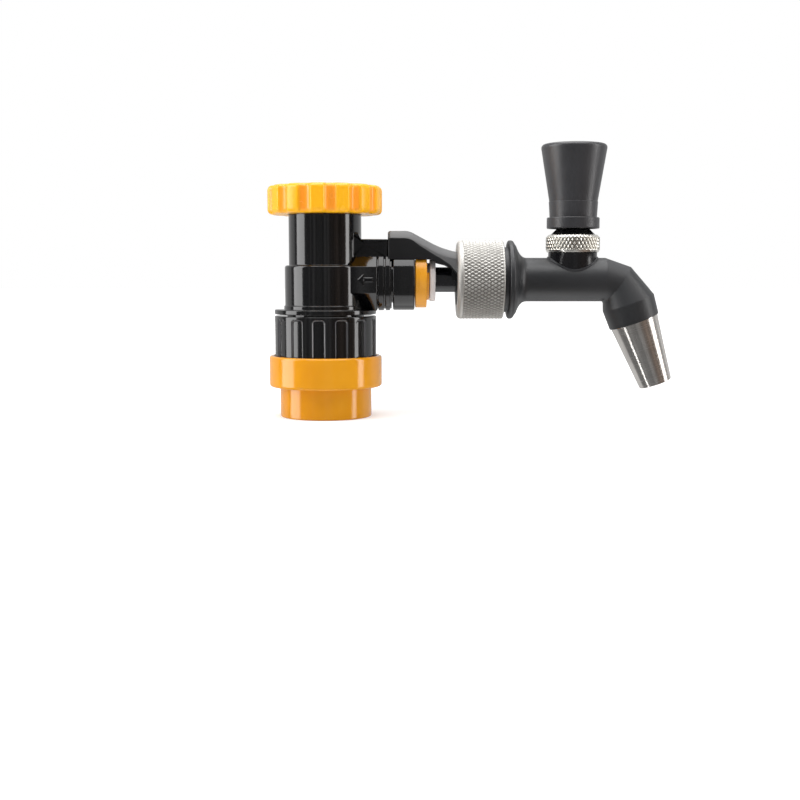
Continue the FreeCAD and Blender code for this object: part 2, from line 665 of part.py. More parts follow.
def turned_core(body):
    """Skirt, flange and barrels about +Z, with every bore along that axis."""
    groove_bottom = S.ring_shoulder - S.seat_gap * 2 - S.circlip_thickness
    groove_top = S.ring_shoulder - S.seat_gap
    groove = S.circlip_inside - S.fit_gap
    flange_top = S.flange_bottom + S.flange_thickness
    chamfer_radius = S.middle_radius - S.shoulder_chamfer
    thread_bore = S.thread_radius + S.fit_gap
    web_top = S.seal_bore_top + S.poppet_web
    turn(body, [
        (S.mouth_radius, 0), (S.skirt_radius, 0), (S.skirt_radius, groove_bottom),
        (groove, groove_bottom), (groove, groove_top), (S.skirt_radius, groove_top),
        (S.skirt_radius, S.flange_bottom), (S.flange_radius, S.flange_bottom),
        (S.flange_radius, flange_top), (S.middle_radius, flange_top),
        (S.middle_radius, S.middle_top - S.shoulder_chamfer), (chamfer_radius, S.middle_top),
        (S.upper_radius, S.middle_top), (S.upper_radius, S.upper_top),
        (thread_bore, S.upper_top), (thread_bore, S.guide_top), (S.guide_radius, S.guide_top),
        (S.guide_radius, S.poppet_bore_top), (S.poppet_bore_radius, S.poppet_bore_top),
        (S.poppet_bore_radius, web_top), (S.poppet_hole_radius, web_top),
        (S.poppet_hole_radius, S.seal_bore_top), (S.seal_bore_radius, S.seal_bore_top),
        (S.seal_bore_radius, S.socket_top + 1), (S.socket_radius, S.socket_top),
        (S.socket_radius, S.mouth_depth), (S.mouth_radius, S.mouth_depth),
    ])


def octagon_points(width):
    """Corners of a regular octagon about the outlet, flats upright and level."""
    half = width / 2
    side = half * (math.sqrt(2) - 1)
    corners = [(half, side), (side, half), (-side, half), (-half, side)]
    corners += [(-half, -side), (-side, -half), (side, -half), (half, -side)]
    return corners


def outlet_boss(body):
    """Octagon and the ring band beside it."""
    sketch = new_sketch(body, "YZ_Plane", (0, S.outlet_height, S.octagon_start))
    outline(sketch, octagon_points(S.octagon_width))
    extrude(body, sketch, S.octagon_end - S.octagon_start)
    low = S.band_radius - S.band_groove
    step = (S.band_end - S.octagon_end) / 5
    places = [S.octagon_end + step * count for count in range(6)]
    turn(body, [
        (S.octagon_end - 1, S.passage_radius), (places[5], S.passage_radius),
        (places[5], low), (places[4], low), (places[4], S.band_radius),
        (places[3], S.band_radius), (places[3], low), (places[2], low),
        (places[2], S.band_radius), (places[1] - step / 2, S.band_radius),
        (places[1] - step / 2, low), (S.octagon_end - 1, low),
    ], along="X", place=S.outlet_height)


def lug_and_tenon(body):
    """Lug beside the barrel, its pointed root, and the arched tenon that carries the arm."""
    sketch = new_sketch(body, "XZ_Plane")
    root_top = S.lug_top + S.lug_root
    start = S.octagon_start + S.fit_gap * 4
    outline(sketch, [
        (start, S.lug_bottom), (S.arm_start, S.lug_bottom), (S.arm_start, S.lug_top),
        (S.upper_radius, S.lug_top), (S.upper_radius - S.lug_root, root_top), (start, root_top),
    ])
    extrude(body, sketch, S.lug_half_width * 2, both=True)
    arch = S.arch_radius + S.seat_gap
    foot = leg(arch, S.tenon_half_width)
    top = S.lug_top - S.outlet_height
    sketch = new_sketch(body, "YZ_Plane", (0, S.outlet_height, S.arm_start - 0.5))
    outline(sketch, [
        (S.tenon_half_width, top), (-S.tenon_half_width, top),
        (-S.tenon_half_width, foot, -arch), (S.tenon_half_width, foot),
    ])
    extrude(body, sketch, S.tenon_length + 0.5)


def outlet_bores(body):
    """Passage, stem socket, seal bore and the bore of the outlet cap, one behind the other."""
    guide_end = S.stem_stop + S.stem_guide
    pack_end = guide_end + S.seal_pack_length
    stem_hole = S.stem_radius + S.fit_gap
    cap_hole = S.cap_spigot_radius + S.fit_gap
    turn(body, [
        (S.guide_radius - 1, 0), (S.band_end + 1, 0), (S.band_end + 1, cap_hole),
        (pack_end, cap_hole), (pack_end, S.seal_pack_radius),
        (guide_end, S.seal_pack_radius), (guide_end, stem_hole), (S.stem_stop, stem_hole),
        (S.stem_stop, S.passage_radius), (S.guide_radius - 1, S.passage_radius),
    ], along="X", place=S.outlet_height, cut=True)


def ball_holes(body):
    """Radial holes for the balls, each with a lip that keeps its ball from falling in."""
    lip = S.ball_place - S.ball_lip
    cuts = []
    for start, radius in ((0, S.ball_lip_radius), (lip, S.ball_radius + S.seat_gap)):
        sketch = new_sketch(body, "YZ_Plane", (0, 0, start))
        circle(sketch, (0, S.ball_height), radius)
        length = S.skirt_radius + 1 - start
        cuts.append(extrude(body, sketch, length, cut=True, flip=True))
    ring_pattern(body, cuts, own_axis(body, "Z_Axis"), S.ball_count)


def disconnect_body():
    """Moulded body: core, outlet boss, lug and tenon, outlet bores and ball holes."""
    body = new_body("disconnect_body")
    turned_core(body)
    outlet_boss(body)
    lug_and_tenon(body)
    outlet_bores(body)
    ball_holes(body)


# Release ring, ribbed sleeve and what they hold

def ribbed_sleeve():
    """Fixed sleeve with round-cornered flutes, screwed on the skirt under the flange."""
    body = new_body("ribbed_sleeve")
    bore = S.skirt_radius + S.fit_gap
    turn(body, [
        (S.sleeve_cavity_radius, S.sleeve_bottom), (S.sleeve_radius, S.sleeve_bottom),
        (S.sleeve_radius, S.sleeve_top - S.sleeve_edge),
        (S.sleeve_radius - S.sleeve_edge, S.sleeve_top), (bore, S.sleeve_top),
        (bore, S.sleeve_ledge), (S.sleeve_cavity_radius, S.sleeve_ledge),
    ])
    half, corner = S.flute_width / 2, S.flute_corner
    sketch = new_sketch(body, "XZ_Plane", (0, 0, S.sleeve_radius - S.flute_depth))
    outline(sketch, [
        (-half, S.sleeve_bottom - 1), (half, S.sleeve_bottom - 1),
        (half, S.flute_top - corner, corner), (half - corner, S.flute_top),
        (corner - half, S.flute_top, corner), (-half, S.flute_top - corner),
    ])
    flute = extrude(body, sketch, S.flute_depth + 1, cut=True, flip=True)
    ring_pattern(body, [flute], own_axis(body, "Z_Axis"), S.flutes)
    place_turned(body, S.flute_turn)


def place_turned(body, angle):
    """Turns a whole piece about +Z."""
    body.Placement.Rotation = Rotation(Vector(0, 0, 1), angle.value)
    bind(body, "Placement.Rotation.Angle", angle)


def release_ring():
    """Two-step ring whose inner cone works the balls as it slides up."""
    guide = S.skirt_radius + S.ring_guide_gap
    slope = sine(S.ring_cone_turn) / cosine(S.ring_cone_turn)
    cone_end = guide + slope * (S.ring_guide_bottom - S.ring_shoulder)
    counterbore = S.circlip_outside + S.seat_gap * 2
    inside = S.sleeve_radius + S.ring_wall_gap
    floor = S.ring_step + S.ring_floor_thickness
    foot_edge = S.ring_edge / 2
    turn(new_body("release_ring"), [
        (counterbore, 0), (S.ring_low_radius - foot_edge, 0), (S.ring_low_radius, foot_edge),
        (S.ring_low_radius, S.ring_step),
        (S.ring_high_radius - S.ring_edge, S.ring_step, S.ring_edge),
        (S.ring_high_radius, S.ring_step + S.ring_edge),
        (S.ring_high_radius, S.ring_top - S.ring_edge, S.ring_edge),
        (S.ring_high_radius - S.ring_edge, S.ring_top), (inside, S.ring_top), (inside, floor),
        (guide, floor), (guide, S.ring_guide_bottom), (cone_end, S.ring_shoulder),
        (counterbore, S.ring_shoulder),
    ])


def release_spring():
    """Spring between the floor of the ring and the ledge of the sleeve."""
    floor = S.ring_step + S.ring_floor_thickness
    middle = (S.skirt_radius + S.sleeve_cavity_radius) / 2
    coil_spring("release_spring", middle, S.release_wire, floor, S.sleeve_ledge, S.release_coils)


def release_circlip():
    """Open spring clip in the groove of the skirt."""
    top = S.ring_shoulder - S.seat_gap * 1.5
    bottom = top - S.circlip_thickness
    turn(new_body("release_circlip"), [
        (S.circlip_inside, bottom), (S.circlip_outside, bottom),
        (S.circlip_outside, top), (S.circlip_inside, top),
    ], angle=FULL_TURN - S.circlip_opening)


def lock_balls():
    """Steel balls in the holes of the skirt, the first towards the tap."""
    for number in range(int(S.ball_count.value)):
        ball = doc.addObject("Part::Sphere", f"lock_ball_{number + 1}")
        ball.Label = ball.Name
        bind(ball, "Radius", S.ball_radius)
        angle = FULL_TURN / S.ball_count * number
        away = S.ball_place
        place_part(ball, (away * cosine(angle), away * sine(angle), S.ball_height))


# Poppet

def poppet():
    """Pin, boss, head and spring spigot in one turned piece."""
    web_top = S.seal_bore_top + S.poppet_web
    boss = web_top + S.seat_gap * 2
    head = boss + S.poppet_seal_wire * 2 - S.fit_gap
    head_top = head + S.poppet_head_height
    spigot_top = head_top + S.poppet_spigot_height
    turn(new_body("poppet"), [
        (0, S.poppet_pin_bottom), (S.poppet_pin_radius, S.poppet_pin_bottom),
        (S.poppet_pin_radius, boss), (S.poppet_boss_radius, boss), (S.poppet_boss_radius, head),
        (S.poppet_head_radius, head), (S.poppet_head_radius, head_top),
        (S.poppet_spigot_radius, head_top), (S.poppet_spigot_radius, spigot_top), (0, spigot_top),
    ])
    middle = S.poppet_boss_radius + S.fit_gap + S.poppet_seal_wire
    height = head - S.poppet_seal_wire - S.fit_gap
    torus("poppet_seal", middle, S.poppet_seal_wire, (0, 0, height))
    coil_spring("poppet_spring", S.poppet_spring_radius, S.poppet_spring_wire, head_top,
                S.poppet_bore_top, S.poppet_coils)


# Push-in outlet

def outlet_cap():
    """Cap with a spigot in the boss and a cone that tightens the collet."""
    pack_end = S.stem_stop + S.stem_guide + S.seal_pack_length
    lip_end = pack_end + S.cap_lip
    cone_start = lip_end + S.cap_hollow
    neck = S.collet_neck_radius + S.seat_gap
    head = S.collet_head_radius + S.seat_gap * 4
    hole = S.stem_radius + S.seat_gap * 1.5
    turn(new_body("outlet_cap"), [
        (pack_end, hole), (lip_end, hole), (lip_end, head), (cone_start, head),
        (S.cap_end - S.cap_mouth, neck), (S.cap_end, neck), (S.cap_end, S.cap_radius - S.cap_edge),
        (S.cap_end - S.cap_edge, S.cap_radius), (S.cap_start + S.cap_edge, S.cap_radius),
        (S.cap_start, S.cap_radius - S.cap_edge), (S.cap_start, S.cap_spigot_radius),
        (pack_end, S.cap_spigot_radius),
    ], along="X", place=S.outlet_height)


def collet():
    """Collet with sprung jaws inside the cap and a flange to press."""
    body = new_body("collet")
    pack_end = S.stem_stop + S.stem_guide + S.seal_pack_length
    start = pack_end + S.collet_inset
    jaws_end = S.cap_end - S.jaws_inset
    bore = S.stem_radius + S.fit_gap
    neck = S.collet_neck_radius
    flange = S.collet_end - S.collet_flange
    turn(body, [
        (start, bore), (S.collet_end, bore), (S.collet_end, S.collet_flange_radius - S.collet_edge),
        (S.collet_end - S.collet_edge, S.collet_flange_radius), (flange, S.collet_flange_radius),
        (flange, neck), (jaws_end, neck),
        (start + S.jaw_rise + S.jaw_ridge, S.collet_head_radius),
        (start + S.jaw_rise, S.collet_head_radius), (start, neck),
    ], along="X", place=S.outlet_height)
    sketch = new_sketch(body, "XZ_Plane", (0, S.outlet_height, 0))
    half = S.collet_slot / 2
    outline(sketch, [(start - 1, -half), (jaws_end, -half), (jaws_end, half), (start - 1, half)])
    slot = extrude(body, sketch, S.collet_head_radius * 2 + 1, cut=True, both=True)
    ring_pattern(body, [slot], (sketch, ["H_Axis"]), 2, angle=90)


def collet_lock_clip():
    """Clip with an open side that keeps the collet from being pressed in."""
    body = new_body("collet_lock_clip")
    start = S.cap_end + S.seat_gap * 2
    hub_end = S.collet_end - S.collet_flange - S.seat_gap * 2
    hub_start = hub_end - S.clip_hub
    inside = S.collet_neck_radius + S.seat_gap
    for radius, tip, place, length in (
            (S.clip_radius, S.clip_tips, start, hub_start - start),
            (S.clip_hub_radius, S.clip_hub_tips, hub_start, S.clip_hub)):
        sketch = new_sketch(body, "YZ_Plane", (0, S.outlet_height, place))
        side = leg(radius, tip)
        outline(sketch, [
            (inside, tip), (inside, 0, -inside), (0, -inside, -inside), (-inside, 0),
            (-inside, tip), (-side, tip, radius), (-radius, 0, radius), (0, -radius, radius),
            (radius, 0, radius), (side, tip),
        ])
        extrude(body, sketch, length)


def stem_seals():
    """Two seals and a spacer round the stem inside the boss."""
    pack = S.stem_stop + S.stem_guide
    middle = S.stem_radius + S.fit_gap + S.stem_seal_wire
    first = pack + S.stem_seal_wire + S.fit_gap
    last = pack + S.seal_pack_length - S.stem_seal_wire - S.fit_gap
    for name, place in (("stem_o_ring_inner", first), ("stem_o_ring_outer", last)):
        torus(name, middle, S.stem_seal_wire, (place, 0, S.outlet_height), along="X")
    start = first + S.stem_seal_wire + S.fit_gap
    end = last - S.stem_seal_wire - S.fit_gap
    inside = S.stem_radius + S.seat_gap
    outside = S.seal_pack_radius - S.fit_gap
    turn(new_body("o_ring_spacer"), [
        (start, inside), (end, inside), (end, outside), (start, outside),
    ], along="X", place=S.outlet_height)


def stem_tube():
    """Straight stem from the outlet to the tap."""
    start = S.stem_stop + S.seat_gap
    turn(new_body("stem_tube"), [
        (start, S.stem_bore), (S.stem_end, S.stem_bore), (S.stem_end, S.stem_radius),
        (start, S.stem_radius),
    ], along="X", place=S.outlet_height)


# Support arm and coupling nut

def arm_side(body):
    """Side outline of the arm: flat top, two tangent bends with a slope between, stepped foot."""
    foot = S.outlet_height + leg(S.arch_radius, S.arm_width / 2) - S.foot_drop
    saddle_top = S.outlet_height + S.saddle_radius
    front = S.nut_start - S.seat_gap
    fall, rise = cosine(S.slope_turn), sine(S.slope_turn)
    low_x = front - S.low_bend * (rise - sine(S.saddle_turn))
    low_z = saddle_top + S.low_bend * (cosine(S.saddle_turn) - fall)
    high_z = S.arm_top - S.high_bend * (measured(1) - fall)
    high_x = low_x - (high_z - low_z) * fall / rise
    outline(new_sketch(body, "XZ_Plane"), [
        (S.arm_start, foot), (S.arch_end - S.foot_end, foot),
        (S.arch_end + S.foot_slope, foot - S.foot_slope_drop),
        (S.saddle_start - S.foot_shelf_inset, foot - S.foot_shelf_drop),
        (S.saddle_start - S.foot_web_inset, foot - S.foot_web_drop),
        (front, S.outlet_height + S.foot_web_height),
        (front, saddle_top, -S.low_bend), (low_x, low_z),
        (high_x, high_z, S.high_bend), (high_x - S.high_bend * rise, S.arm_top),
        (S.arm_start, S.arm_top),
    ])
    return extrude(body, body.Group[-1], S.arm_width, both=True)


def side_edges(shape, half_width, height):
    """Names of the edges that run along the arm's top at its two sides."""
    names = []
    for number, edge in enumerate(shape.Edges, start=1):
        middle = edge.valueAt((edge.FirstParameter + edge.LastParameter) / 2)
        along = abs(edge.BoundBox.YLength) < 0.01 and edge.BoundBox.XLength > 0.01
        if along and abs(abs(middle.y) - half_width) < 0.01 and middle.z > height:
            names.append(f"Edge{number}")
    return names


def face_edges(shape, place, height):
    """Names of the upper edges that lie in the face of the arm at the lug."""
    names = []
    for number, edge in enumerate(shape.Edges, start=1):
        box = edge.BoundBox
        if abs(box.XMin - place) < 0.01 and abs(box.XMax - place) < 0.01 and box.ZMax > height:
            names.append(f"Edge{number}")
    return names


def arm_channel(body):
    """Arch round the outlet, cone to the stem and bore of the shank, cut from below."""
    bore = S.stem_radius + S.shank_bore_gap
    turn(body, [
        (S.arm_start - 1, 0), (S.shank_end + 1, 0), (S.shank_end + 1, bore),
        (S.saddle_start, bore), (S.saddle_start, S.stem_radius + S.stem_way),
        (S.arch_end + S.arch_cone, S.stem_radius + S.stem_way), (S.arch_end, S.arch_radius),
        (S.arm_start - 1, S.arch_radius),
    ], along="X", place=S.outlet_height, cut=True)


def arm_pocket(body):
    """Pocket for the tenon, open to the arch below."""
    half = S.tenon_half_width + S.seat_gap
    top = S.lug_top + S.seat_gap - S.outlet_height
    sketch = new_sketch(body, "YZ_Plane", (0, S.outlet_height, S.arm_start - 1))
    outline(sketch, [(-half, 0), (half, 0), (half, top), (-half, top)])
    extrude(body, sketch, S.tenon_length + 1 + S.seat_gap, cut=True, flip=True)


def shank(body):
    """Saddle over the stem and the shank through the nut, with the snap ring's groove."""
    bore = S.stem_radius + S.shank_bore_gap
    front = S.nut_start - S.seat_gap
    turn(body, [
        (S.saddle_start, bore), (front, bore), (front, S.saddle_radius),
        (S.saddle_start, S.saddle_radius),
    ], along="X", place=S.outlet_height, angle=Measure(180), midplane=True)
    groove_start = S.nut_start + S.nut_wall + S.fit_gap
    groove_end = groove_start + S.snap_ring_thickness + S.seat_gap
    groove = S.shank_radius - S.snap_groove_depth
    turn(body, [
        (front, bore), (S.shank_end, bore), (S.shank_end, S.shank_radius),
        (groove_end, S.shank_radius), (groove_end, groove), (groove_start, groove),
        (groove_start, S.shank_radius), (front, S.shank_radius),
    ], along="X", place=S.outlet_height)


def support_arm():
    """Arm from the lug, over the outlet and down to the shank that carries the nut."""
    body = new_body("support_arm")
    side = arm_side(body)
    doc.recompute()
    rounding = body.newObject("PartDesign::Fillet", "support_arm_rounding")
    height = S.lug_bottom.value + 2
    rounding.Base = (side, side_edges(side.Shape, S.arm_width.value / 2, height))
    bind(rounding, "Radius", S.arm_edge)
    doc.recompute()
    corner = body.newObject("PartDesign::Fillet", "support_arm_corner")
    corner.Base = (rounding, face_edges(rounding.Shape, S.arm_start.value, height))
    bind(corner, "Radius", S.arm_corner)
    arm_channel(body)
    arm_pocket(body)
    shank(body)


def coupling_nut():
    """Nut that turns on the shank and draws the tap's tail against it."""
    thread = S.tail_thread_radius + S.seat_gap
    hole = S.shank_radius + S.nut_shank_gap
    wall_end = S.nut_start + S.nut_wall
    turn(new_body("coupling_nut"), [
        (S.nut_start, hole), (wall_end, hole), (wall_end, thread), (S.nut_end, thread),
        (S.nut_end, S.nut_radius - S.nut_chamfer), (S.nut_end - S.nut_chamfer, S.nut_radius),
        (S.nut_start + S.nut_edge, S.nut_radius, S.nut_edge),
        (S.nut_start, S.nut_radius - S.nut_edge),
    ], along="X", place=S.outlet_height)


def shank_snap_ring():
    """Open ring in the groove of the shank, which the nut pulls on."""
    start = S.nut_start + S.nut_wall + S.seat_gap
    end = start + S.snap_ring_thickness
    inside = S.shank_radius - S.snap_groove_depth + S.fit_gap
    turn(new_body("shank_snap_ring"), [
        (start, inside), (end, inside), (end, S.snap_ring_radius), (start, S.snap_ring_radius),
    ], along="X", place=S.outlet_height, angle=FULL_TURN - S.snap_ring_opening)


def tail_seal():
    """Washer between the shank and the tail of the tap."""
    start = S.shank_end + S.fit_gap
    end = S.tail_start - S.fit_gap
    inside = S.stem_radius + S.seat_gap
    turn(new_body("tail_seal"), [
        (start, inside), (end, inside), (end, S.tail_seal_radius), (start, S.tail_seal_radius),
    ], along="X", place=S.outlet_height)


# Tap body

def tap_barrel():
    """Threaded tail, flange with its concave flare, and barrel, solid inside."""
    body = new_body("tap_barrel")
    flange_end = S.tap_flange_start + S.tap_flange
    edge = S.tap_edge
    joint = S.neck_place + (S.elbow_start + S.elbow_crease) / 2
    foot = S.barrel_radius + S.flare_radius
    thread = S.tail_thread_radius
    turn(body, [
        (S.tail_start, 0), (joint, 0), (joint, S.barrel_radius),
        (flange_end + S.flare_radius, S.barrel_radius, -S.flare_radius),
        (flange_end, foot), (flange_end, S.tap_flange_radius - edge),
        (flange_end - edge, S.tap_flange_radius), (S.tap_flange_start + edge, S.tap_flange_radius),
        (S.tap_flange_start, S.tap_flange_radius - edge), (S.tap_flange_start, thread),
        (S.tail_start + edge, thread), (S.tail_start, thread - edge),
    ], along="X", place=S.outlet_height)
    return body


def section(name, centre, half_height, half_width, lean):
    """One elliptical section of the elbow: its long way lies in the plane of symmetry."""
    ellipse = doc.addObject("Part::Ellipse", name)
    if half_height.value >= half_width.value:
        long, short, roll = half_height, half_width, 0
    else:
        long, short, roll = half_width, half_height, 90
    bind(ellipse, "MajorRadius", long)
    bind(ellipse, "MinorRadius", short)
    spin = Rotation(Vector(0, 0, 1), roll)
    ellipse.Placement.Rotation = Rotation(Vector(0, 1, 0), lean) * spin
    place_part(ellipse, centre)
    return ellipse


def section_between(name, top, bottom, half_width):
    """Section whose highest and lowest points are given as (x, z)."""
    centre = ((top[0] + bottom[0]) / 2, 0, (top[1] + bottom[1]) / 2)
    across, up = top[0] - bottom[0], top[1] - bottom[1]
    lean = math.degrees(math.atan2(across.value, up.value)) - 90
    return section(name, centre, root(across * across + up * up) / 2, half_width, lean)


def elbow():
    """Elbow in flat-sided steps that all turn about the crease on its underside."""
    low = S.outlet_height - S.barrel_radius
    high = S.outlet_height + S.barrel_radius
    lean_x, lean_z = S.collar_radius * cosine(S.spout_turn), S.collar_radius * sine(S.spout_turn)
    end_x, end_z = S.spout_place_x, S.spout_place_z
    start = S.neck_place + S.elbow_start
    crease = S.neck_place + S.elbow_crease
    outlines = [
        ((start, high), (start, low), S.barrel_radius),
        ((crease + S.crease_lean, high), (crease, low), S.barrel_radius),
        ((crease + S.first_step_place, high - S.first_step_drop),
         (crease + S.first_step_foot, low - S.first_step_foot_drop),
         S.barrel_radius + S.first_step_swell),
        ((crease + S.second_step_place, high - S.second_step_drop),
         (crease + S.second_step_foot, low - S.second_step_foot_drop),
         S.collar_radius - S.second_step_inset),
        ((end_x + lean_x, end_z + lean_z), (end_x - lean_x, end_z - lean_z), S.collar_radius),
    ]
    sections = []
    for number, (top, bottom, half_width) in enumerate(outlines):
        sections.append(section_between(f"elbow_section_{number}", top, bottom, half_width))
    loft = doc.addObject("Part::Loft", "elbow_steps")
    loft.Sections = sections
    loft.Solid = True
    loft.Ruled = True
    return loft


def neck():
    """Neck that grows from the barrel in a saddle, and the thread above it."""
    foot = doc.addObject("Part::Ellipse", "neck_foot")
    bind(foot, "MajorRadius", S.neck_radius)
    bind(foot, "MinorRadius", S.neck_depth)
    place_part(foot, (S.neck_place, 0, S.outlet_height))
    head = doc.addObject("Part::Ellipse", "neck_head")
    bind(head, "MajorRadius", S.neck_radius)
    bind(head, "MinorRadius", S.neck_radius)
    place_part(head, (S.neck_place, 0, S.neck_top))
    saddle = doc.addObject("Part::Loft", "neck_saddle")
    saddle.Sections = [foot, head]
    saddle.Solid = True
    saddle.Ruled = True
    thread = doc.addObject("Part::Cylinder", "neck_thread")
    bind(thread, "Radius", S.neck_thread_radius)
    bind(thread, "Height", S.neck_thread_top - S.outlet_height)
    place_part(thread, (S.neck_place, 0, S.outlet_height))
    return saddle, thread


def tap_bores():
    """Barrel bore with its seat, bore of the lever's ball, and the way down the spout."""
    bores = new_body("tap_bores")
    cone_end = S.barrel_seat + S.barrel_bore - S.beer_way_radius
    drop = S.outlet_height - S.spout_place_z
    bend = S.spout_place_x - drop * sine(S.spout_turn) / cosine(S.spout_turn)
    turn(bores, [
        (S.tail_start - 1, 0), (bend, 0), (bend, S.beer_way_radius),
        (cone_end, S.beer_way_radius), (S.barrel_seat, S.barrel_bore),
        (S.tail_start - 1, S.barrel_bore),
    ], along="X", place=S.outlet_height)
    turn(bores, [
        (0, S.outlet_height), (S.lever_way_radius, S.outlet_height),
        (S.lever_way_radius, S.ball_bore_bottom), (S.ball_bore, S.ball_bore_bottom),
        (S.ball_bore, S.neck_thread_top + 1), (0, S.neck_thread_top + 1),
    ], place=S.neck_place)
    length = drop / cosine(S.spout_turn)
    spout = new_body("spout_bores")
    depth = S.spout_socket_depth
    turn(spout, [
        (0, -1), (S.spout_socket_radius, -1), (S.spout_socket_radius, depth),
        (S.spout_way_radius, depth), (S.spout_way_radius, length), (0, length),
    ])
    place_part(spout, (S.spout_place_x, 0, S.spout_place_z), -S.spout_turn)
    return bores, spout


def tap_body():
    """Tap body: barrel, elbow and neck in one, with every bore cut from it."""
    solids = doc.addObject("Part::MultiFuse", "tap_solids")
    solids.Shapes = [tap_barrel(), elbow(), *neck()]
    solids.Refine = True
    ways = doc.addObject("Part::MultiFuse", "tap_ways")
    ways.Shapes = list(tap_bores())
    tap = doc.addObject("Part::Cut", "tap_body")
    tap.Label = "tap_body"
    tap.Base = solids
    tap.Tool = ways


def tail_bush():
    """Bush that guides and stops the stem in the barrel."""
    outside = S.barrel_bore - S.fit_gap
    hole = S.stem_radius + S.fit_gap
    stop = S.stem_end + S.seat_gap
    turn(new_body("tail_bush"), [
        (S.bush_start, hole), (stop, hole), (stop, S.stem_bore), (S.bush_end, S.stem_bore),
        (S.bush_end, outside), (S.bush_start, outside),
    ], along="X", place=S.outlet_height)
    middle = (S.stem_radius + S.barrel_bore) / 2
    place = (S.tail_start + S.bush_start) / 2
    torus("stem_tail_o_ring", middle, S.tail_ring_wire, (place, 0, S.outlet_height), along="X")


# Shuttle and lever

def shuttle():
    """Shuttle with flats for the beer, a slot for the lever and a nose for its seal."""
    body = new_body("shuttle")
    radius = S.barrel_bore - S.shuttle_gap
    nose = S.shuttle_shoulder + S.front_seal_wire * 2 + S.seat_gap
    turn(body, [
        (S.shuttle_start, 0), (nose + S.shuttle_nose, 0),
        (nose + S.shuttle_nose, S.shuttle_nose_radius), (nose, S.shuttle_nose_radius),
        (nose, S.shuttle_neck_radius), (S.shuttle_shoulder, S.shuttle_neck_radius),
        (S.shuttle_shoulder, radius), (S.shuttle_start, radius),
    ], along="X", place=S.outlet_height)
    sketch = new_sketch(body, "YZ_Plane", (0, S.outlet_height, S.shuttle_start - 1))
    for side in (1, -1):
        near, far = S.shuttle_flat * side, (radius + 1) * side
        corners = [(near, -radius), (far, -radius), (far, radius), (near, radius)]
        outline(sketch, corners if side > 0 else corners[::-1])
    extrude(body, sketch, S.shuttle_shoulder - S.shuttle_start + 1, cut=True, flip=True)
    half = S.shuttle_slot_half
    floor = S.outlet_height - S.lever_tip_radius - S.seat_gap * 3
    lean_floor = S.outlet_height + S.lever_tip_radius
    for bottom, front in ((floor, half), (lean_floor, S.shuttle_slot_front)):
        sketch = new_sketch(body, "XY_Plane", (S.neck_place, 0, bottom))
        outline(sketch, [(-half, -half), (front, -half), (front, half), (-half, half)])
        extrude(body, sketch, S.barrel_bore * 2, cut=True, flip=True)


def front_seal():
    """Seal round the shuttle's neck that closes on the cone of the barrel."""
    middle = S.shuttle_neck_radius + S.fit_gap + S.front_seal_wire
    place = S.shuttle_shoulder + S.fit_gap + S.front_seal_wire
    torus("shuttle_front_seal", middle, S.front_seal_wire, (place, 0, S.outlet_height), along="X")


def lever():
    """Lever: rounded tip, arm, ball and threaded shaft."""
    tip_join = S.outlet_height + leg(S.lever_tip_radius, S.lever_arm_radius)
    low_join = S.lever_ball_height - leg(S.lever_ball_radius, S.lever_arm_radius)
    high_join = S.lever_ball_height + leg(S.lever_ball_radius, S.lever_shaft_radius)
    turn(new_body("lever"), [
        (0, S.outlet_height - S.lever_tip_radius, S.lever_tip_radius),
        (S.lever_arm_radius, tip_join), (S.lever_arm_radius, low_join, S.lever_ball_radius),
        (S.lever_shaft_radius, high_join), (S.lever_shaft_radius, S.lever_shaft_top),
        (0, S.lever_shaft_top),
    ], place=S.neck_place)


def lever_seats():
    """Lower seat in the neck and upper seat under the bonnet, both hollowed to the ball."""
    hollow = S.lever_ball_radius + S.seat_gap
    outside = S.ball_bore - S.seat_gap
    centre = S.lever_ball_height
    top_radius = leg(hollow, centre - S.lower_seat_top)
    turn(new_body("lever_lower_seat"), [
        (S.lower_seat_radius, S.ball_bore_bottom), (outside, S.ball_bore_bottom),
        (outside, S.lower_seat_top), (top_radius, S.lower_seat_top, -hollow),
        (S.lower_seat_radius, centre - leg(hollow, S.lower_seat_radius)),
    ], place=S.neck_place)
    base = S.neck_thread_top + S.fit_gap
    flange_top = base + S.seat_flange
    flange = S.neck_thread_radius - S.fit_gap
    dome_top = S.dome_bottom + S.dome_height
    turn(new_body("lever_upper_seat"), [
        (leg(hollow, base - centre), base), (flange, base), (flange, flange_top),
        (S.dome_radius, flange_top), (S.dome_radius, S.dome_bottom, S.dome_round),
        (S.dome_top_radius, dome_top), (S.dome_hole_radius, dome_top),
        (S.dome_hole_radius, centre + leg(hollow, S.dome_hole_radius), -hollow),
    ], place=S.neck_place)


def bonnet_nut():
    """Nut on the neck whose lip holds the upper seat down."""
    thread = S.neck_thread_radius + S.seat_gap
    bottom = S.neck_top + S.fit_gap
    lip = S.neck_thread_top + S.fit_gap * 2 + S.seat_flange
    edge = S.bonnet_chamfer
    hole = S.dome_radius + S.seat_gap
    turn(new_body("bonnet_nut"), [
        (thread, bottom), (S.bonnet_radius - edge / 2, bottom), (S.bonnet_radius, bottom + edge),
        (S.bonnet_radius, S.dome_bottom - edge), (S.bonnet_radius - edge, S.dome_bottom),
        (hole, S.dome_bottom), (hole, lip), (thread, lip),
    ], place=S.neck_place)


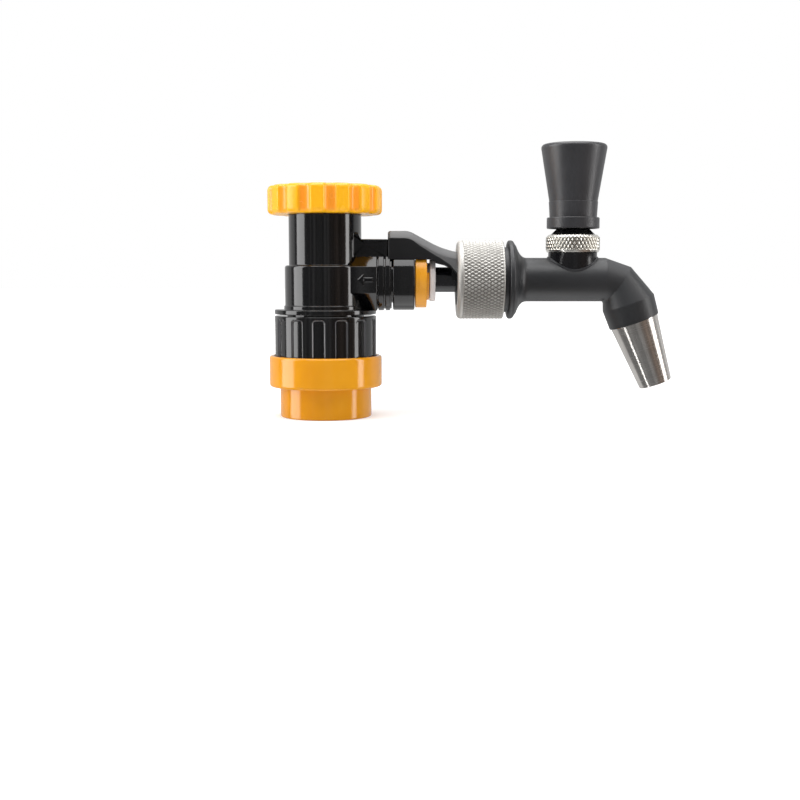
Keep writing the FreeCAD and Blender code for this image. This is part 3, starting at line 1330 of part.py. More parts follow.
def handle():
    """Tapered handle with a ring at its foot, a recess over the dome and its insert."""
    hole = S.insert_radius + S.seat_gap / 2
    ceiling = S.handle_bottom + S.skirt_recess_depth
    ring_top = S.handle_bottom + S.skirt_ring_height
    insert_top = ceiling + S.insert_length
    hole_top = insert_top + S.seat_gap
    cone_foot = S.handle_neck_top_radius - S.handle_step
    turn(new_body("handle"), [
        (S.skirt_recess_radius, S.handle_bottom), (S.skirt_ring_radius, S.handle_bottom),
        (S.skirt_ring_radius, ring_top), (S.handle_neck_radius, ring_top),
        (S.handle_neck_top_radius, S.handle_step_height), (cone_foot, S.handle_step_height),
        (S.handle_top_radius, S.handle_top - S.handle_edge, S.handle_edge),
        (S.handle_top_radius - S.handle_edge + S.handle_slant, S.handle_top),
        (0, S.handle_top), (0, hole_top), (hole, hole_top),
        (hole, ceiling), (S.skirt_recess_radius, ceiling),
    ], place=S.neck_place)
    shaft = S.lever_shaft_radius + S.fit_gap
    shaft_top = S.lever_shaft_top + S.seat_gap
    turn(new_body("handle_insert"), [
        (shaft, ceiling), (S.insert_radius, ceiling), (S.insert_radius, insert_top),
        (0, insert_top), (0, shaft_top), (shaft, shaft_top),
    ], place=S.neck_place)


# Spout tip

def spout_tip():
    """Tapered tip with a spigot in the elbow; +Z of its outline points into the elbow."""
    body = new_body("spout_tip")
    spigot = S.spout_socket_radius - S.fit_gap
    spigot_top = S.spout_socket_depth - S.seat_gap * 3
    groove_middle = spigot_top / 2
    groove_half = S.tip_ring_wire + S.seat_gap
    groove = spigot - S.tip_ring_wire * 2 - S.fit_gap
    turn(body, [
        (S.tip_bore, -S.tip_length), (S.tip_end_radius, -S.tip_length),
        (S.tip_top_radius, -S.fit_gap), (spigot, -S.fit_gap),
        (spigot, groove_middle - groove_half), (groove, groove_middle - groove_half),
        (groove, groove_middle + groove_half), (spigot, groove_middle + groove_half),
        (spigot, spigot_top), (S.tip_bore, spigot_top),
    ])
    place_part(body, (S.spout_place_x, 0, S.spout_place_z), -S.spout_turn)
    seal = doc.addObject("Part::Torus", "spout_o_ring")
    seal.Label = "spout_o_ring"
    bind(seal, "Radius1", spigot - S.tip_ring_wire)
    bind(seal, "Radius2", S.tip_ring_wire)
    across = groove_middle * sine(S.spout_turn)
    up = groove_middle * cosine(S.spout_turn)
    place_part(seal, (S.spout_place_x - across, 0, S.spout_place_z + up), -S.spout_turn)


PIECES = [
    "flow_knob", "flow_spindle", "flow_needle", "needle_o_ring", "flow_seat",
    "disconnect_body", "ribbed_sleeve", "release_ring", "release_spring", "release_circlip",
    "lock_ball_1", "lock_ball_2", "lock_ball_3", "poppet", "poppet_seal", "poppet_spring",
    "outlet_cap", "collet", "collet_lock_clip", "stem_o_ring_inner", "stem_o_ring_outer",
    "o_ring_spacer", "stem_tube", "support_arm", "coupling_nut", "shank_snap_ring", "tail_seal",
    "tap_body", "tail_bush", "stem_tail_o_ring", "shuttle", "shuttle_front_seal", "lever",
    "lever_lower_seat", "lever_upper_seat", "bonnet_nut", "handle", "handle_insert",
    "spout_tip", "spout_o_ring",
]


def make_pieces():
    """Builds every piece in the document."""
    for maker in (flow_knob, flow_spindle, flow_needle, needle_seal, flow_seat, disconnect_body,
                  ribbed_sleeve, release_ring, release_spring, release_circlip, lock_balls,
                  poppet, outlet_cap, collet, collet_lock_clip, stem_seals, stem_tube,
                  support_arm, coupling_nut, shank_snap_ring, tail_seal, tap_body, tail_bush,
                  shuttle, front_seal, lever, lever_seats, bonnet_nut, handle, spout_tip):
        maker()
    doc.recompute()


def check_document():
    """Stops on a failed object, or on a cut that takes nothing away."""
    for thing in doc.Objects:
        if "Invalid" in thing.State or "Error" in thing.State:
            raise RuntimeError(f"{thing.Name} failed: {thing.State}")
        if thing.TypeId in ("PartDesign::Pocket", "PartDesign::Groove"):
            if thing.BaseFeature.Shape.Volume - thing.Shape.Volume < 0.001:
                raise RuntimeError(f"{thing.Name} cuts nothing")


def write_pieces():
    """Writes each piece to its own file, after a look at its shape."""
    os.makedirs("parts", exist_ok=True)
    for label in PIECES:
        shape = doc.getObjectsByLabel(label)[0].Shape
        if shape.isNull() or not shape.isValid() or len(shape.Solids) != 1:
            raise RuntimeError(f"{label} has no good shape")
        shape.exportStep(os.path.join("parts", f"{label}.step"))


make_pieces()
check_document()
write_pieces()
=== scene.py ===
"""Looks of the disconnect beer tap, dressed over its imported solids.

Sizes in the outlines are millimetres and are turned into metres where a mesh is made. The
post socket's mouth is the origin, +Z runs up the disconnect and +X towards the tap.
"""
import math
import bmesh
import bpy
import numpy as np
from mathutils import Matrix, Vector


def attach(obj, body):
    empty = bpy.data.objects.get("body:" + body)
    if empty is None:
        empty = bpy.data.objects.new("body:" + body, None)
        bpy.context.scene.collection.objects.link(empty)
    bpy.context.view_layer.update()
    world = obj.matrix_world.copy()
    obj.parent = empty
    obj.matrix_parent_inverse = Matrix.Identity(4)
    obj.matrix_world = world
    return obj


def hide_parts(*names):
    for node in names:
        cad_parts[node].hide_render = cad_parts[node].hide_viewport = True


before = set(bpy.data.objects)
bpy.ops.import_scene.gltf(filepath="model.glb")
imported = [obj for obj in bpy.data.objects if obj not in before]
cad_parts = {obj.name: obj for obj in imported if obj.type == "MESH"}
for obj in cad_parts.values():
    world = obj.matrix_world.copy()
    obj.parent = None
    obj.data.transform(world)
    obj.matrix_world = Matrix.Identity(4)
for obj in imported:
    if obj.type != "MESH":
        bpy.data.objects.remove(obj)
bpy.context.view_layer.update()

MM = 0.001
TURN = 2 * np.pi
OUTLET = 44.1                 # height of the outlet, the stem and the tap
OUTLET_AXIS = (0, 0, OUTLET)
NECK = 79.6                   # where the tap's neck and handle stand
NECK_AXIS = (NECK, 0, 0)
SPOUT = (99.8, 0.0, 30.8)     # middle of the elbow's end
SPOUT_LEAN = math.radians(20.2)
ALONG_Z = np.eye(3)
ALONG_X = np.array(((0, 1, 0), (0, 0, 1), (1, 0, 0)), float)
SIDEWAYS = np.array(((1, 0, 0), (0, 0, 1), (0, -1, 0)), float)
ALONG_SPOUT = np.array((
    (math.cos(SPOUT_LEAN), 0, math.sin(SPOUT_LEAN)), (0, 1, 0),
    (-math.sin(SPOUT_LEAN), 0, math.cos(SPOUT_LEAN)),
))


# Surfaces worked out as whole arrays

def ramp(value, low, high):
    """Smooth step: 0 below low, 1 above high, and 3t^2 - 2t^3 of the share t between."""
    share = np.clip((value - low) / (high - low), 0, 1)
    return share * share * (3 - 2 * share)


def within(value, start, full, fade, end):
    """Smooth band: 0 outside start..end and 1 from full to fade."""
    return ramp(value, start, full) * ramp(-value, -end, -fade)


def rounded(corners, closed=True, steps=5):
    """Outline whose corners (a, b, rounding) become arcs tangent to both runs.

    With unit vectors p and q from a corner to its neighbours and half the angle between
    them h, the arc's centre lies rounding / sin h along p + q and it touches the runs
    rounding / tan h from the corner. A point just beyond each end of the arc keeps the
    shading of the run flat. An open outline keeps its two ends as they are.
    """
    table = np.array(corners, float)
    place, rounding = table[:, :2], table[:, 2].copy()
    before, after = np.roll(place, 1, 0) - place, np.roll(place, -1, 0) - place
    if not closed:
        rounding[[0, -1]] = 0
    long_before = np.linalg.norm(before, axis=1)
    long_after = np.linalg.norm(after, axis=1)
    p, q = before / long_before[:, None], after / long_after[:, None]
    half = np.arccos(np.clip((p * q).sum(1), -0.99999, 0.99999)) / 2
    touch = rounding / np.tan(half)
    middle = p + q
    middle /= np.maximum(np.linalg.norm(middle, axis=1), 1e-9)[:, None]
    centre = place + middle * (rounding / np.sin(half))[:, None]
    first, last = place + p * touch[:, None] - centre, place + q * touch[:, None] - centre
    sweep = np.maximum(np.pi - 2 * half, 1e-6)[:, None]
    share = np.linspace(0, 1, steps + 1)[None, :]
    weight_first = np.sin((1 - share) * sweep) / np.sin(sweep)
    weight_last = np.sin(share * sweep) / np.sin(sweep)
    arc = (centre[:, None] + weight_first[..., None] * first[:, None]
           + weight_last[..., None] * last[:, None])
    free_before = long_before - touch - np.roll(touch, 1)
    free_after = long_after - touch - np.roll(touch, -1)
    lead = np.minimum(0.15, free_before * 0.3)[:, None]
    tail = np.minimum(0.15, free_after * 0.3)[:, None]
    start = place + p * (touch[:, None] + lead)
    end = place + q * (touch[:, None] + tail)
    points = np.concatenate((start[:, None], arc, end[:, None]), axis=1)
    if closed:
        return points.reshape(-1, 2)
    inner = points[1:-1].reshape(-1, 2)
    return np.vstack((place[:1], end[:1], inner, start[-1:], place[-1:]))


def spaced(outline, low, high, step):
    """Adds points every step along the outline's steep rising runs, from low to high."""
    heights = np.arange(low, high, step)
    rows = []
    for here, there in zip(outline[:-1], outline[1:]):
        rows.append(here)
        inside = heights[(heights > here[1] + 0.02) & (heights < there[1] - 0.02)]
        if len(inside) and abs(there[0] - here[0]) < 0.6:
            share = (inside - here[1]) / (there[1] - here[1])
            rows.extend(here + (there - here) * share[:, None])
    rows.append(outline[-1])
    return np.array(rows)


def grid(points, along=False):
    """Points and quads of a grid: each quad joins neighbours in a row and in the next row.

    Each row closes on itself, and with along the last row closes on the first one.
    """
    rows, columns = points.shape[:2]
    index = np.arange(rows * columns).reshape(rows, columns)
    index = np.hstack((index, index[:, :1]))
    if along:
        index = np.vstack((index, index[:1]))
    quads = np.stack((index[:-1, :-1], index[:-1, 1:], index[1:, 1:], index[1:, :-1]), -1)
    return points.reshape(-1, 3), quads.reshape(-1, 4)


def turned(outline, centre=(0, 0, 0), axes=ALONG_Z, columns=112, closed=True, swell=None):
    """Outline of (radius, height) carried round an axis.

    point = centre + radius (cos a, sin a) across the axis + height along it, and swell(a,
    radius, height) is added to the radius. A closed outline joins its last point to its
    first one.
    """
    angle = np.arange(columns)[None, :] * (TURN / columns)
    radius, height = outline[:, :1], outline[:, 1:2]
    if swell is not None:
        radius = radius + swell(angle, radius, height)
    across = radius * np.cos(angle)
    up = radius * np.sin(angle)
    along = height + np.zeros_like(angle)
    local = np.stack((across, up, along), -1)
    return grid(local @ axes + np.array(centre), along=closed)


def lofted(sections):
    """Closed sections joined in turn; each end shrinks to the middle of its section."""
    first, last = sections[:1].mean(1, keepdims=True), sections[-1:].mean(1, keepdims=True)
    flat = np.zeros_like(sections[:1])
    return grid(np.concatenate((first + flat, sections, last + flat)))


def piece(name, body, shells, finish, nodes, sharp=32.0):
    """Joins shells into one smooth piece that rides on a body and replaces nodes.

    Edges that turn by more than sharp degrees stay sharp.
    """
    shift, verts, quads = 0, [], []
    for points, faces in shells:
        verts.append(points * MM)
        quads.append(faces + shift)
        shift += len(points)
    mesh = bpy.data.meshes.new(name)
    mesh.from_pydata(np.concatenate(verts), [], np.concatenate(quads).tolist())
    tidy = bmesh.new()
    tidy.from_mesh(mesh)
    bmesh.ops.remove_doubles(tidy, verts=tidy.verts, dist=2e-7)
    tidy.to_mesh(mesh)
    tidy.free()
    mesh.shade_smooth()
    mesh.set_sharp_from_angle(angle=math.radians(sharp))
    mesh.materials.append(finish)
    thing = bpy.data.objects.new(name, mesh)
    bpy.context.scene.collection.objects.link(thing)
    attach(thing, body)
    if nodes:
        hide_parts(*nodes)
    return thing


# Shared effects of the materials

VECTOR, VALUE = "NodeSocketVector", "NodeSocketFloat"


def new_group(name, inputs, outputs):
    """Empty node group with value or vector inputs and value outputs."""
    group = bpy.data.node_groups.new(name, "ShaderNodeTree")
    for label, kind, value in inputs:
        socket = group.interface.new_socket(label, in_out="INPUT", socket_type=kind)
        if value is not None:
            socket.default_value = value
    for label in outputs:
        group.interface.new_socket(label, in_out="OUTPUT", socket_type=VALUE)
    return group, group.nodes.new("NodeGroupInput"), group.nodes.new("NodeGroupOutput")


def node(tree, kind, links=(), **settings):
    """Adds a node, sets its properties and sockets, and links (socket, source) pairs."""
    made = tree.nodes.new(kind)
    for label, value in settings.items():
        if label in made.inputs:
            made.inputs[label].default_value = value
        else:
            setattr(made, label, value)
    for label, source in links:
        tree.links.new(source, made.inputs[label])
    return made


def math_node(tree, operation, *terms):
    """Math node whose terms are numbers or sockets."""
    made = tree.nodes.new("ShaderNodeMath")
    made.operation = operation
    for index, term in enumerate(terms):
        if isinstance(term, (int, float)):
            made.inputs[index].default_value = term
        else:
            tree.links.new(term, made.inputs[index])
    return made.outputs[0]


def moulding_group():
    """Moulded plastic: fine grain and slow waviness as a height, and a slow tone."""
    group, enter, leave = new_group(
        "moulding",
        (("Place", VECTOR, None), ("Grain", VALUE, 4000.0), ("Grain Share", VALUE, 0.5)),
        ("Height", "Tone"))
    place = enter.outputs["Place"]
    grain = node(group, "ShaderNodeTexNoise",
                 (("Vector", place), ("Scale", enter.outputs["Grain"])), Detail=2.0)
    wave = node(group, "ShaderNodeTexNoise", (("Vector", place),), Scale=160.0, Detail=1.0)
    fine = math_node(group, "MULTIPLY", grain.outputs[0], enter.outputs["Grain Share"])
    group.links.new(math_node(group, "ADD", fine, wave.outputs[0]), leave.inputs["Height"])
    tone = node(group, "ShaderNodeTexNoise", (("Vector", place),), Scale=70.0, Detail=3.0)
    group.links.new(tone.outputs[0], leave.inputs["Tone"])
    return group


def turning_group():
    """Turned metal: fine rings round +Z of Place, from noise read at (radius, height)."""
    group, enter, leave = new_group(
        "turning", (("Place", VECTOR, None), ("Rings", VALUE, 9000.0)), ("Height", "Tone"))
    split = node(group, "ShaderNodeSeparateXYZ", (("Vector", enter.outputs["Place"]),))
    x, y, z = split.outputs
    across = math_node(group, "ADD", math_node(group, "MULTIPLY", x, x),
                       math_node(group, "MULTIPLY", y, y))
    radius = math_node(group, "SQRT", across)
    flat = node(group, "ShaderNodeCombineXYZ", (("X", radius), ("Z", z)))
    rings = node(group, "ShaderNodeTexNoise",
                 (("Vector", flat.outputs[0]), ("Scale", enter.outputs["Rings"])), Detail=3.0)
    group.links.new(rings.outputs[0], leave.inputs["Height"])
    tone = node(group, "ShaderNodeTexNoise", (("Vector", enter.outputs["Place"]),), Scale=210.0,
                Detail=4.0)
    group.links.new(tone.outputs[0], leave.inputs["Tone"])
    return group


def marks_group():
    """Handling marks: thin broken lines where a stretched noise crosses its middle."""
    group, enter, leave = new_group(
        "marks", (("Place", VECTOR, None), ("Scale", VALUE, 300.0), ("Width", VALUE, 0.006)),
        ("Mask",))
    stretch = node(group, "ShaderNodeMapping", (("Vector", enter.outputs["Place"]),))
    stretch.inputs["Scale"].default_value = (1.0, 1.0, 0.22)
    stretch.inputs["Rotation"].default_value = (0.5, 0.35, 0.2)
    noise = node(group, "ShaderNodeTexNoise",
                 (("Vector", stretch.outputs[0]), ("Scale", enter.outputs["Scale"])), Detail=0.0)
    off = math_node(group, "ABSOLUTE", math_node(group, "SUBTRACT", noise.outputs[0], 0.5))
    line = math_node(group, "LESS_THAN", off, enter.outputs["Width"])
    patch = node(group, "ShaderNodeTexNoise", (("Vector", enter.outputs["Place"]),), Scale=130.0)
    here = math_node(group, "GREATER_THAN", patch.outputs[0], 0.56)
    group.links.new(math_node(group, "MULTIPLY", line, here), leave.inputs["Mask"])
    return group


MOULDING, TURNING, MARKS = moulding_group(), turning_group(), marks_group()


def use_group(tree, group, place, **values):
    """Places a shared effect in a material with its own values."""
    made = tree.nodes.new("ShaderNodeGroup")
    made.node_tree = group
    tree.links.new(place, made.inputs["Place"])
    for label, value in values.items():
        made.inputs[label.replace("_", " ")].default_value = value
    return made


def new_material(name, **settings):
    """Material with a Principled shader; settings are its constant sockets."""
    material = bpy.data.materials.new(name)
    material.use_nodes = True
    tree = material.node_tree
    shader = tree.nodes["Principled BSDF"]
    for label, value in settings.items():
        shader.inputs[label.replace("_", " ")].default_value = value
    place = tree.nodes.new("ShaderNodeTexCoord").outputs["Object"]
    return material, tree, shader, place


def between(tree, share, low, high):
    """Colour between two colours by a share, clamped."""
    mix = tree.nodes.new("ShaderNodeMix")
    mix.data_type = "RGBA"
    mix.inputs[6].default_value = (*low, 1)
    mix.inputs[7].default_value = (*high, 1)
    tree.links.new(share, mix.inputs[0])
    return mix.outputs[2]


def mapped(tree, source, start, end, low, high, way="SMOOTHSTEP"):
    """Value mapped from start..end to low..high, along a smooth step if no other way is given."""
    made = node(tree, "ShaderNodeMapRange", (("Value", source),), interpolation_type=way)
    for label, value in (("From Min", start), ("From Max", end), ("To Min", low),
                         ("To Max", high)):
        made.inputs[label].default_value = value
    return made.outputs[0]


def spread(tree, source, low, high):
    """Value mapped in proportion from 0.3..0.7, where noise mostly lies, to low..high."""
    return mapped(tree, source, 0.3, 0.7, low, high, "LINEAR")


def bump(tree, shader, height, distance):
    """Bump of the shader's normal by a height."""
    made = node(tree, "ShaderNodeBump", (("Height", height),), Distance=distance, Strength=1.0)
    tree.links.new(made.outputs[0], shader.inputs["Normal"])


def plastic(name, low, high, rough, grain=4000.0, grain_share=0.5, depth=1e-5, marked=0.05,
            **settings):
    """Moulded plastic: tone between two colours, grain, slow waviness and handling marks."""
    material, tree, shader, place = new_material(name, **settings)
    skin = use_group(tree, MOULDING, place, Grain=grain, Grain_Share=grain_share)
    marks = use_group(tree, MARKS, place)
    tone = spread(tree, skin.outputs["Tone"], 0.0, 1.0)
    tree.links.new(between(tree, tone, low, high), shader.inputs["Base Color"])
    base = spread(tree, skin.outputs["Tone"], rough * 0.9, rough * 1.12)
    worn = math_node(tree, "MULTIPLY", marks.outputs["Mask"], marked)
    tree.links.new(math_node(tree, "ADD", base, worn), shader.inputs["Roughness"])
    bump(tree, shader, skin.outputs["Height"], depth)
    return material


def metal(name, low, high, rough, centre=(0, 0, 0), turn=(0, 0, 0), depth=2e-6):
    """Turned metal whose rings run round its own axis, laid on +Z by centre and turn."""
    material, tree, shader, place = new_material(name, Metallic=1.0)
    laid = node(tree, "ShaderNodeMapping", (("Vector", place),), vector_type="TEXTURE")
    laid.inputs["Location"].default_value = [value * MM for value in centre]
    laid.inputs["Rotation"].default_value = turn
    lines = use_group(tree, TURNING, laid.outputs[0], Rings=9000.0)
    marks = use_group(tree, MARKS, place, Scale=420.0)
    tone = spread(tree, lines.outputs["Tone"], 0.0, 1.0)
    tree.links.new(between(tree, tone, low, high), shader.inputs["Base Color"])
    base = spread(tree, lines.outputs["Height"], rough * 0.75, rough * 1.3)
    worn = math_node(tree, "MULTIPLY", marks.outputs["Mask"], 0.05)
    tree.links.new(math_node(tree, "ADD", base, worn), shader.inputs["Roughness"])
    bump(tree, shader, lines.outputs["Height"], depth)
    return material


def share_on(thing, label, share):
    """Stores share(x, y, z), in millimetres, as an attribute of the piece's points."""
    mesh = thing.data
    place = np.empty(len(mesh.vertices) * 3, np.float32)
    mesh.vertices.foreach_get("co", place)
    x, y, z = place.reshape(-1, 3).T / MM
    layer = mesh.attributes.new(label, "FLOAT", "POINT")
    layer.data.foreach_set("value", share(x, y, z).astype(np.float32))


def tinted(material, label, colour, amount=1.0):
    """Mixes the base colour towards a colour where the piece's attribute says so."""
    tree = material.node_tree
    shader = tree.nodes["Principled BSDF"]
    source = shader.inputs["Base Color"].links[0].from_socket
    here = node(tree, "ShaderNodeAttribute", attribute_name=label)
    mix = tree.nodes.new("ShaderNodeMix")
    mix.data_type = "RGBA"
    tree.links.new(math_node(tree, "MULTIPLY", here.outputs["Fac"], amount), mix.inputs[0])
    tree.links.new(source, mix.inputs[6])
    mix.inputs[7].default_value = (*colour, 1)
    tree.links.new(mix.outputs[2], shader.inputs["Base Color"])
    return material


# Finishes

# Knob yellow: its groove tint paints shade, a deeper orange inside the finger grooves.
KNOB_YELLOW = tinted(
    plastic("knob_yellow", (0.90, 0.41, 0.004), (0.95, 0.465, 0.009), 0.26, depth=2e-5),
    "groove", (1.0, 0.30, 0.02), 0.8)
RING_YELLOW = plastic("ring_yellow", (0.68, 0.265, 0.004), (0.73, 0.31, 0.008), 0.12, depth=2e-5,
                      marked=0.03)
CLIP_ORANGE = plastic("clip_orange", (0.69, 0.285, 0.010), (0.75, 0.33, 0.018), 0.28, depth=2e-5)
BLACK = {"low": (0.0015, 0.0015, 0.002), "high": (0.003, 0.003, 0.0035), "rough": 0.09,
         "grain_share": 0.15, "depth": 2.4e-5, "IOR": 1.56}
GLOSS_BLACK = plastic("gloss_black", **BLACK)
# Fluted black: its edge tint paints highlights on the flutes' walls.
FLUTED_BLACK = tinted(plastic("fluted_black", **BLACK), "edge", (0.10, 0.10, 0.105))
STEM_BLACK = plastic("stem_black", (0.004, 0.004, 0.006), (0.008, 0.008, 0.010), 0.16,
                     grain_share=0.3, depth=1.6e-5)
# Arm grey: its tint paints a sheen, a light band along the arm's top.
ARM_GREY = tinted(
    plastic("arm_grey", (0.005, 0.005, 0.006), (0.009, 0.009, 0.010), 0.42,
            grain=5200.0, grain_share=1.0, depth=1.6e-5, Specular_IOR_Level=0.4),
    "painted_sheen", (0.11, 0.11, 0.112))
TAP_GREY = plastic("tap_grey", (0.011, 0.012, 0.014), (0.016, 0.017, 0.020), 0.45,
                   grain=5200.0, grain_share=1.0, depth=1.6e-5, Specular_IOR_Level=0.7)
HANDLE_GREY = plastic("handle_grey", (0.020, 0.020, 0.023), (0.027, 0.027, 0.031), 0.38,
                      grain=6000.0, grain_share=1.0, depth=2.0e-5, Specular_IOR_Level=0.7)
SEAT_BLACK = plastic("seat_black", (0.006, 0.006, 0.007), (0.012, 0.012, 0.013), 0.25,
                     grain_share=0.4)
ACETAL = plastic("acetal", (0.58, 0.54, 0.53), (0.65, 0.61, 0.60), 0.35)
SEAL = plastic("seal", (0.012, 0.012, 0.012), (0.020, 0.020, 0.019), 0.55, grain=2600.0,
               grain_share=1.0)
# Nut steel: its valley tint paints shade into the knurl's valleys.
NUT_STEEL = tinted(
    metal("nut_steel", (0.57, 0.56, 0.535), (0.67, 0.66, 0.635), 0.60, OUTLET_AXIS,
          (0, math.pi / 2, 0)),
    "valley_shade", (0.20, 0.19, 0.175), 0.8)
# Bonnet steel: its valley tint paints shade into the knurl's valleys as well.
BONNET_STEEL = tinted(
    metal("bonnet_steel", (0.78, 0.76, 0.71), (0.90, 0.88, 0.82), 0.28, NECK_AXIS),
    "valley_shade", (0.16, 0.15, 0.11), 0.8)
SPOUT_STEEL = metal("spout_steel", (0.60, 0.575, 0.55), (0.70, 0.675, 0.645), 0.22, SPOUT,
                    (0, -SPOUT_LEAN, 0), depth=1e-6)
PLAIN_STEEL = metal("plain_steel", (0.62, 0.60, 0.58), (0.70, 0.68, 0.66), 0.2)
SPRING_STEEL = metal("spring_steel", (0.52, 0.51, 0.50), (0.62, 0.61, 0.60), 0.26)
# Neck grey: the tap's grey made darker as painted shade under the bonnet; its higher gloss is its
# own finish.
NECK_SHADED = plastic("neck_shaded_grey", (0.003, 0.003, 0.004), (0.005, 0.005, 0.006), 0.22,
                    grain=5200.0, grain_share=0.6, depth=1.2e-5)


# Disconnect

KNOB_RADIUS = 18.3


def from_nearest(angle, count, first):
    """Angle from the middle of the nearest of count features, spread evenly from first on."""
    pitch = TURN / count
    return (angle - first + pitch / 2) % pitch - pitch / 2


def groove_depth(angle):
    """Finger grooves of the knob, 1.2 mm deep.

    At an angle s from a groove's middle, a circle of radius c that lies w from the axis
    reaches r - w cos s + sqrt(c^2 - (w sin s)^2) into a rim of radius r. Depth d becomes
    (d + sqrt(d^2 + 0.02)) / 2, which rounds the groove's edges.
    """
    cut, way = 2.6, 19.7
    side = from_nearest(angle, 14, math.radians(21.8))
    reach = np.sqrt(np.maximum(cut ** 2 - (way * np.sin(side)) ** 2, 0))
    depth = KNOB_RADIUS - way * np.cos(side) + reach
    return (depth + np.sqrt(depth ** 2 + 0.02)) / 2


def make_knob():
    """Knob: a turned outline whose rim gives way by the depth of the finger grooves, with painted
    shade in them.
    """
    outline = rounded([
        (0, 67.8, 0), (11.9, 67.8, 0.2), (11.9, 64.8, 0.3), (14.6, 64.8, 0.05),
        (15.6, 64.8, 0.05), (16.4, 64.8, 0.05), (KNOB_RADIUS, 64.8, 1.4),
        (KNOB_RADIUS, 73.8, 1.5), (16.4, 73.8, 0.05), (15.6, 73.8, 0.05), (14.6, 73.8, 0.05),
        (13.4, 73.8, 0.25), (13.0, 73.3, 0.25), (4.2, 73.3, 0.3), (3.8, 73.0, 0.3), (0, 73.0, 0),
    ], closed=False)
    shell = turned(outline, columns=420, closed=False,
                   swell=lambda a, r, h: -groove_depth(a) * ramp(r, 14.4, 16.4))
    knob = piece("knob_rim", "flow_knob_body", [shell], KNOB_YELLOW,
                 ["flow_knob"])
    # Painted shade: the groove attribute turns the yellow deeper orange inside the finger grooves.
    share_on(knob, "groove", lambda x, y, z: ramp(groove_depth(np.arctan2(y, x)), 0.15, 0.9)
             * ramp(np.hypot(x, y), 15.5, 16.8) * within(z, 64.9, 66.2, 72.4, 73.7))


def inset_loop(outline, inset):
    """Closed outline moved inwards: each point goes along the normal of its neighbours' chord."""
    run = np.roll(outline, -1, 0) - np.roll(outline, 1, 0)
    run /= np.maximum(np.linalg.norm(run, axis=1, keepdims=True), 1e-9)
    return outline + inset * np.stack((-run[:, 1], run[:, 0]), 1)


def prism(outline, axes, centre, stations):
    """Outline (a, b) carried along the third axis through stations (height, inset)."""
    rows = [np.column_stack((inset_loop(outline, inset), np.full(len(outline), height)))
            for height, inset in stations]
    return lofted(np.array(rows) @ axes + np.array(centre))


def eased(low, high, edge):
    """Stations of a prism: at an angle q of its rounded edges, edge (1 - cos q) from the end
    and edge (1 - sin q) inwards; the first and the last one keep the shading of the ends flat.
    """
    turn = np.linspace(0, np.pi / 2, 5)
    along = np.append(0, edge * (1 - np.cos(turn)))
    inset = np.append(edge + 0.15, edge * (1 - np.sin(turn)))
    return [*zip(low + along, inset), *zip(high - along[::-1], inset[::-1])]


def octagon(width):
    """Corners of a regular octagon, anticlockwise from its right side."""
    half, side = width / 2, width / 2 * math.tan(math.pi / 8)
    return [(half, -side), (half, side), (side, half), (-side, half),
            (-half, side), (-half, -side), (-side, -half), (side, -half)]


def make_body():
    """Disconnect body: turned core, octagon, ring band, lug with its root, tenon and arrow."""
    core = turned(rounded([
        (10.5, 0, 0.15), (12.4, 0, 0.2), (12.4, 0.95, 0.03), (11.9, 0.95, 0.03),
        (11.9, 2.0, 0.03), (12.4, 2.0, 0.03), (12.4, 33.1, 0.05), (16.4, 33.1, 0.25),
        (16.4, 34.6, 0.25), (13.35, 34.6, 0.15), (13.35, 35.9, 0.3), (13.0, 35.9, 0.15),
        (13.0, 48.7, 0.8), (11.65, 48.7, 0.25), (11.65, 67, 0.2), (8.05, 67, 0.2),
        (8.05, 53.2, 0.1), (5.6, 53.2, 0.1), (5.6, 33, 0.1), (4.9, 33, 0.1),
        (4.9, 20.5, 0.1), (3.2, 20.5, 0.1), (3.2, 18.5, 0.1), (8, 18.5, 0.1), (8, 12, 0.1),
        (10.3, 11, 0.1), (10.3, 4.8, 0.05), (10.5, 4.8, 0.05),
    ]), columns=144)
    corners = rounded([(a, b, 0.35) for a, b in octagon(19.7)], steps=4)
    boss = prism(corners, ALONG_X, OUTLET_AXIS, [
        (8.2, 0), (9.0, 0), (16.5, 0), (16.6, 0.02), (16.75, 0.12), (16.85, 0.3), (16.85, 0.45)])
    band = turned(rounded([
        (2.8, 16.4, 0.1), (9.3, 16.4, 0.1), (9.3, 17.15, 0.08), (9.9, 17.15, 0.14),
        (9.9, 18.9, 0.14), (9.35, 18.9, 0.1), (9.35, 19.5, 0.1), (9.9, 19.5, 0.14),
        (9.9, 20.9, 0.14), (9.3, 20.9, 0.1), (9.3, 21.4, 0.1), (2.8, 21.4, 0.1),
    ]), OUTLET_AXIS, ALONG_X, 128)
    side = rounded([
        (8.4, 50.6, 0.1), (20.2, 50.6, 0.3), (20.2, 56.9, 0.3), (11.6, 56.9, 0.25),
        (10.9, 59.0, 1.0), (8.4, 59.0, 0.1)])
    lug = prism(side, SIDEWAYS, (0, 0, 0), eased(-6.7, 6.7, 0.35))
    tenon = prism(rounded([
        (19.8, 54.5, 0.1), (28.4, 54.5, 0.2), (28.4, 56.8, 0.2), (19.8, 56.8, 0.1),
    ]), SIDEWAYS, (0, 0, 0), eased(-5.9, 5.9, 0.2))
    face, raised = (0, -9.83, 0), [(-0.1, 0), (0.02, 0), (0.17, 0.22), (0.17, 0.32)]
    head = prism(rounded([(10.6, 44.1, 0.1), (12.7, 42.1, 0.12), (12.7, 46.1, 0.12)], steps=2),
                 SIDEWAYS, face, raised)
    shaft = prism(rounded([
        (12.5, 43.35, 0.05), (15.6, 43.35, 0.12), (15.6, 44.85, 0.12), (12.5, 44.85, 0.05)],
        steps=2), SIDEWAYS, face, raised)
    piece("moulded_body", "frame", [core, boss, band, lug, tenon, head, shaft], GLOSS_BLACK,
          ["disconnect_body"])


SLEEVE_RADIUS, FLUTE_DEPTH = 16.4, 0.62


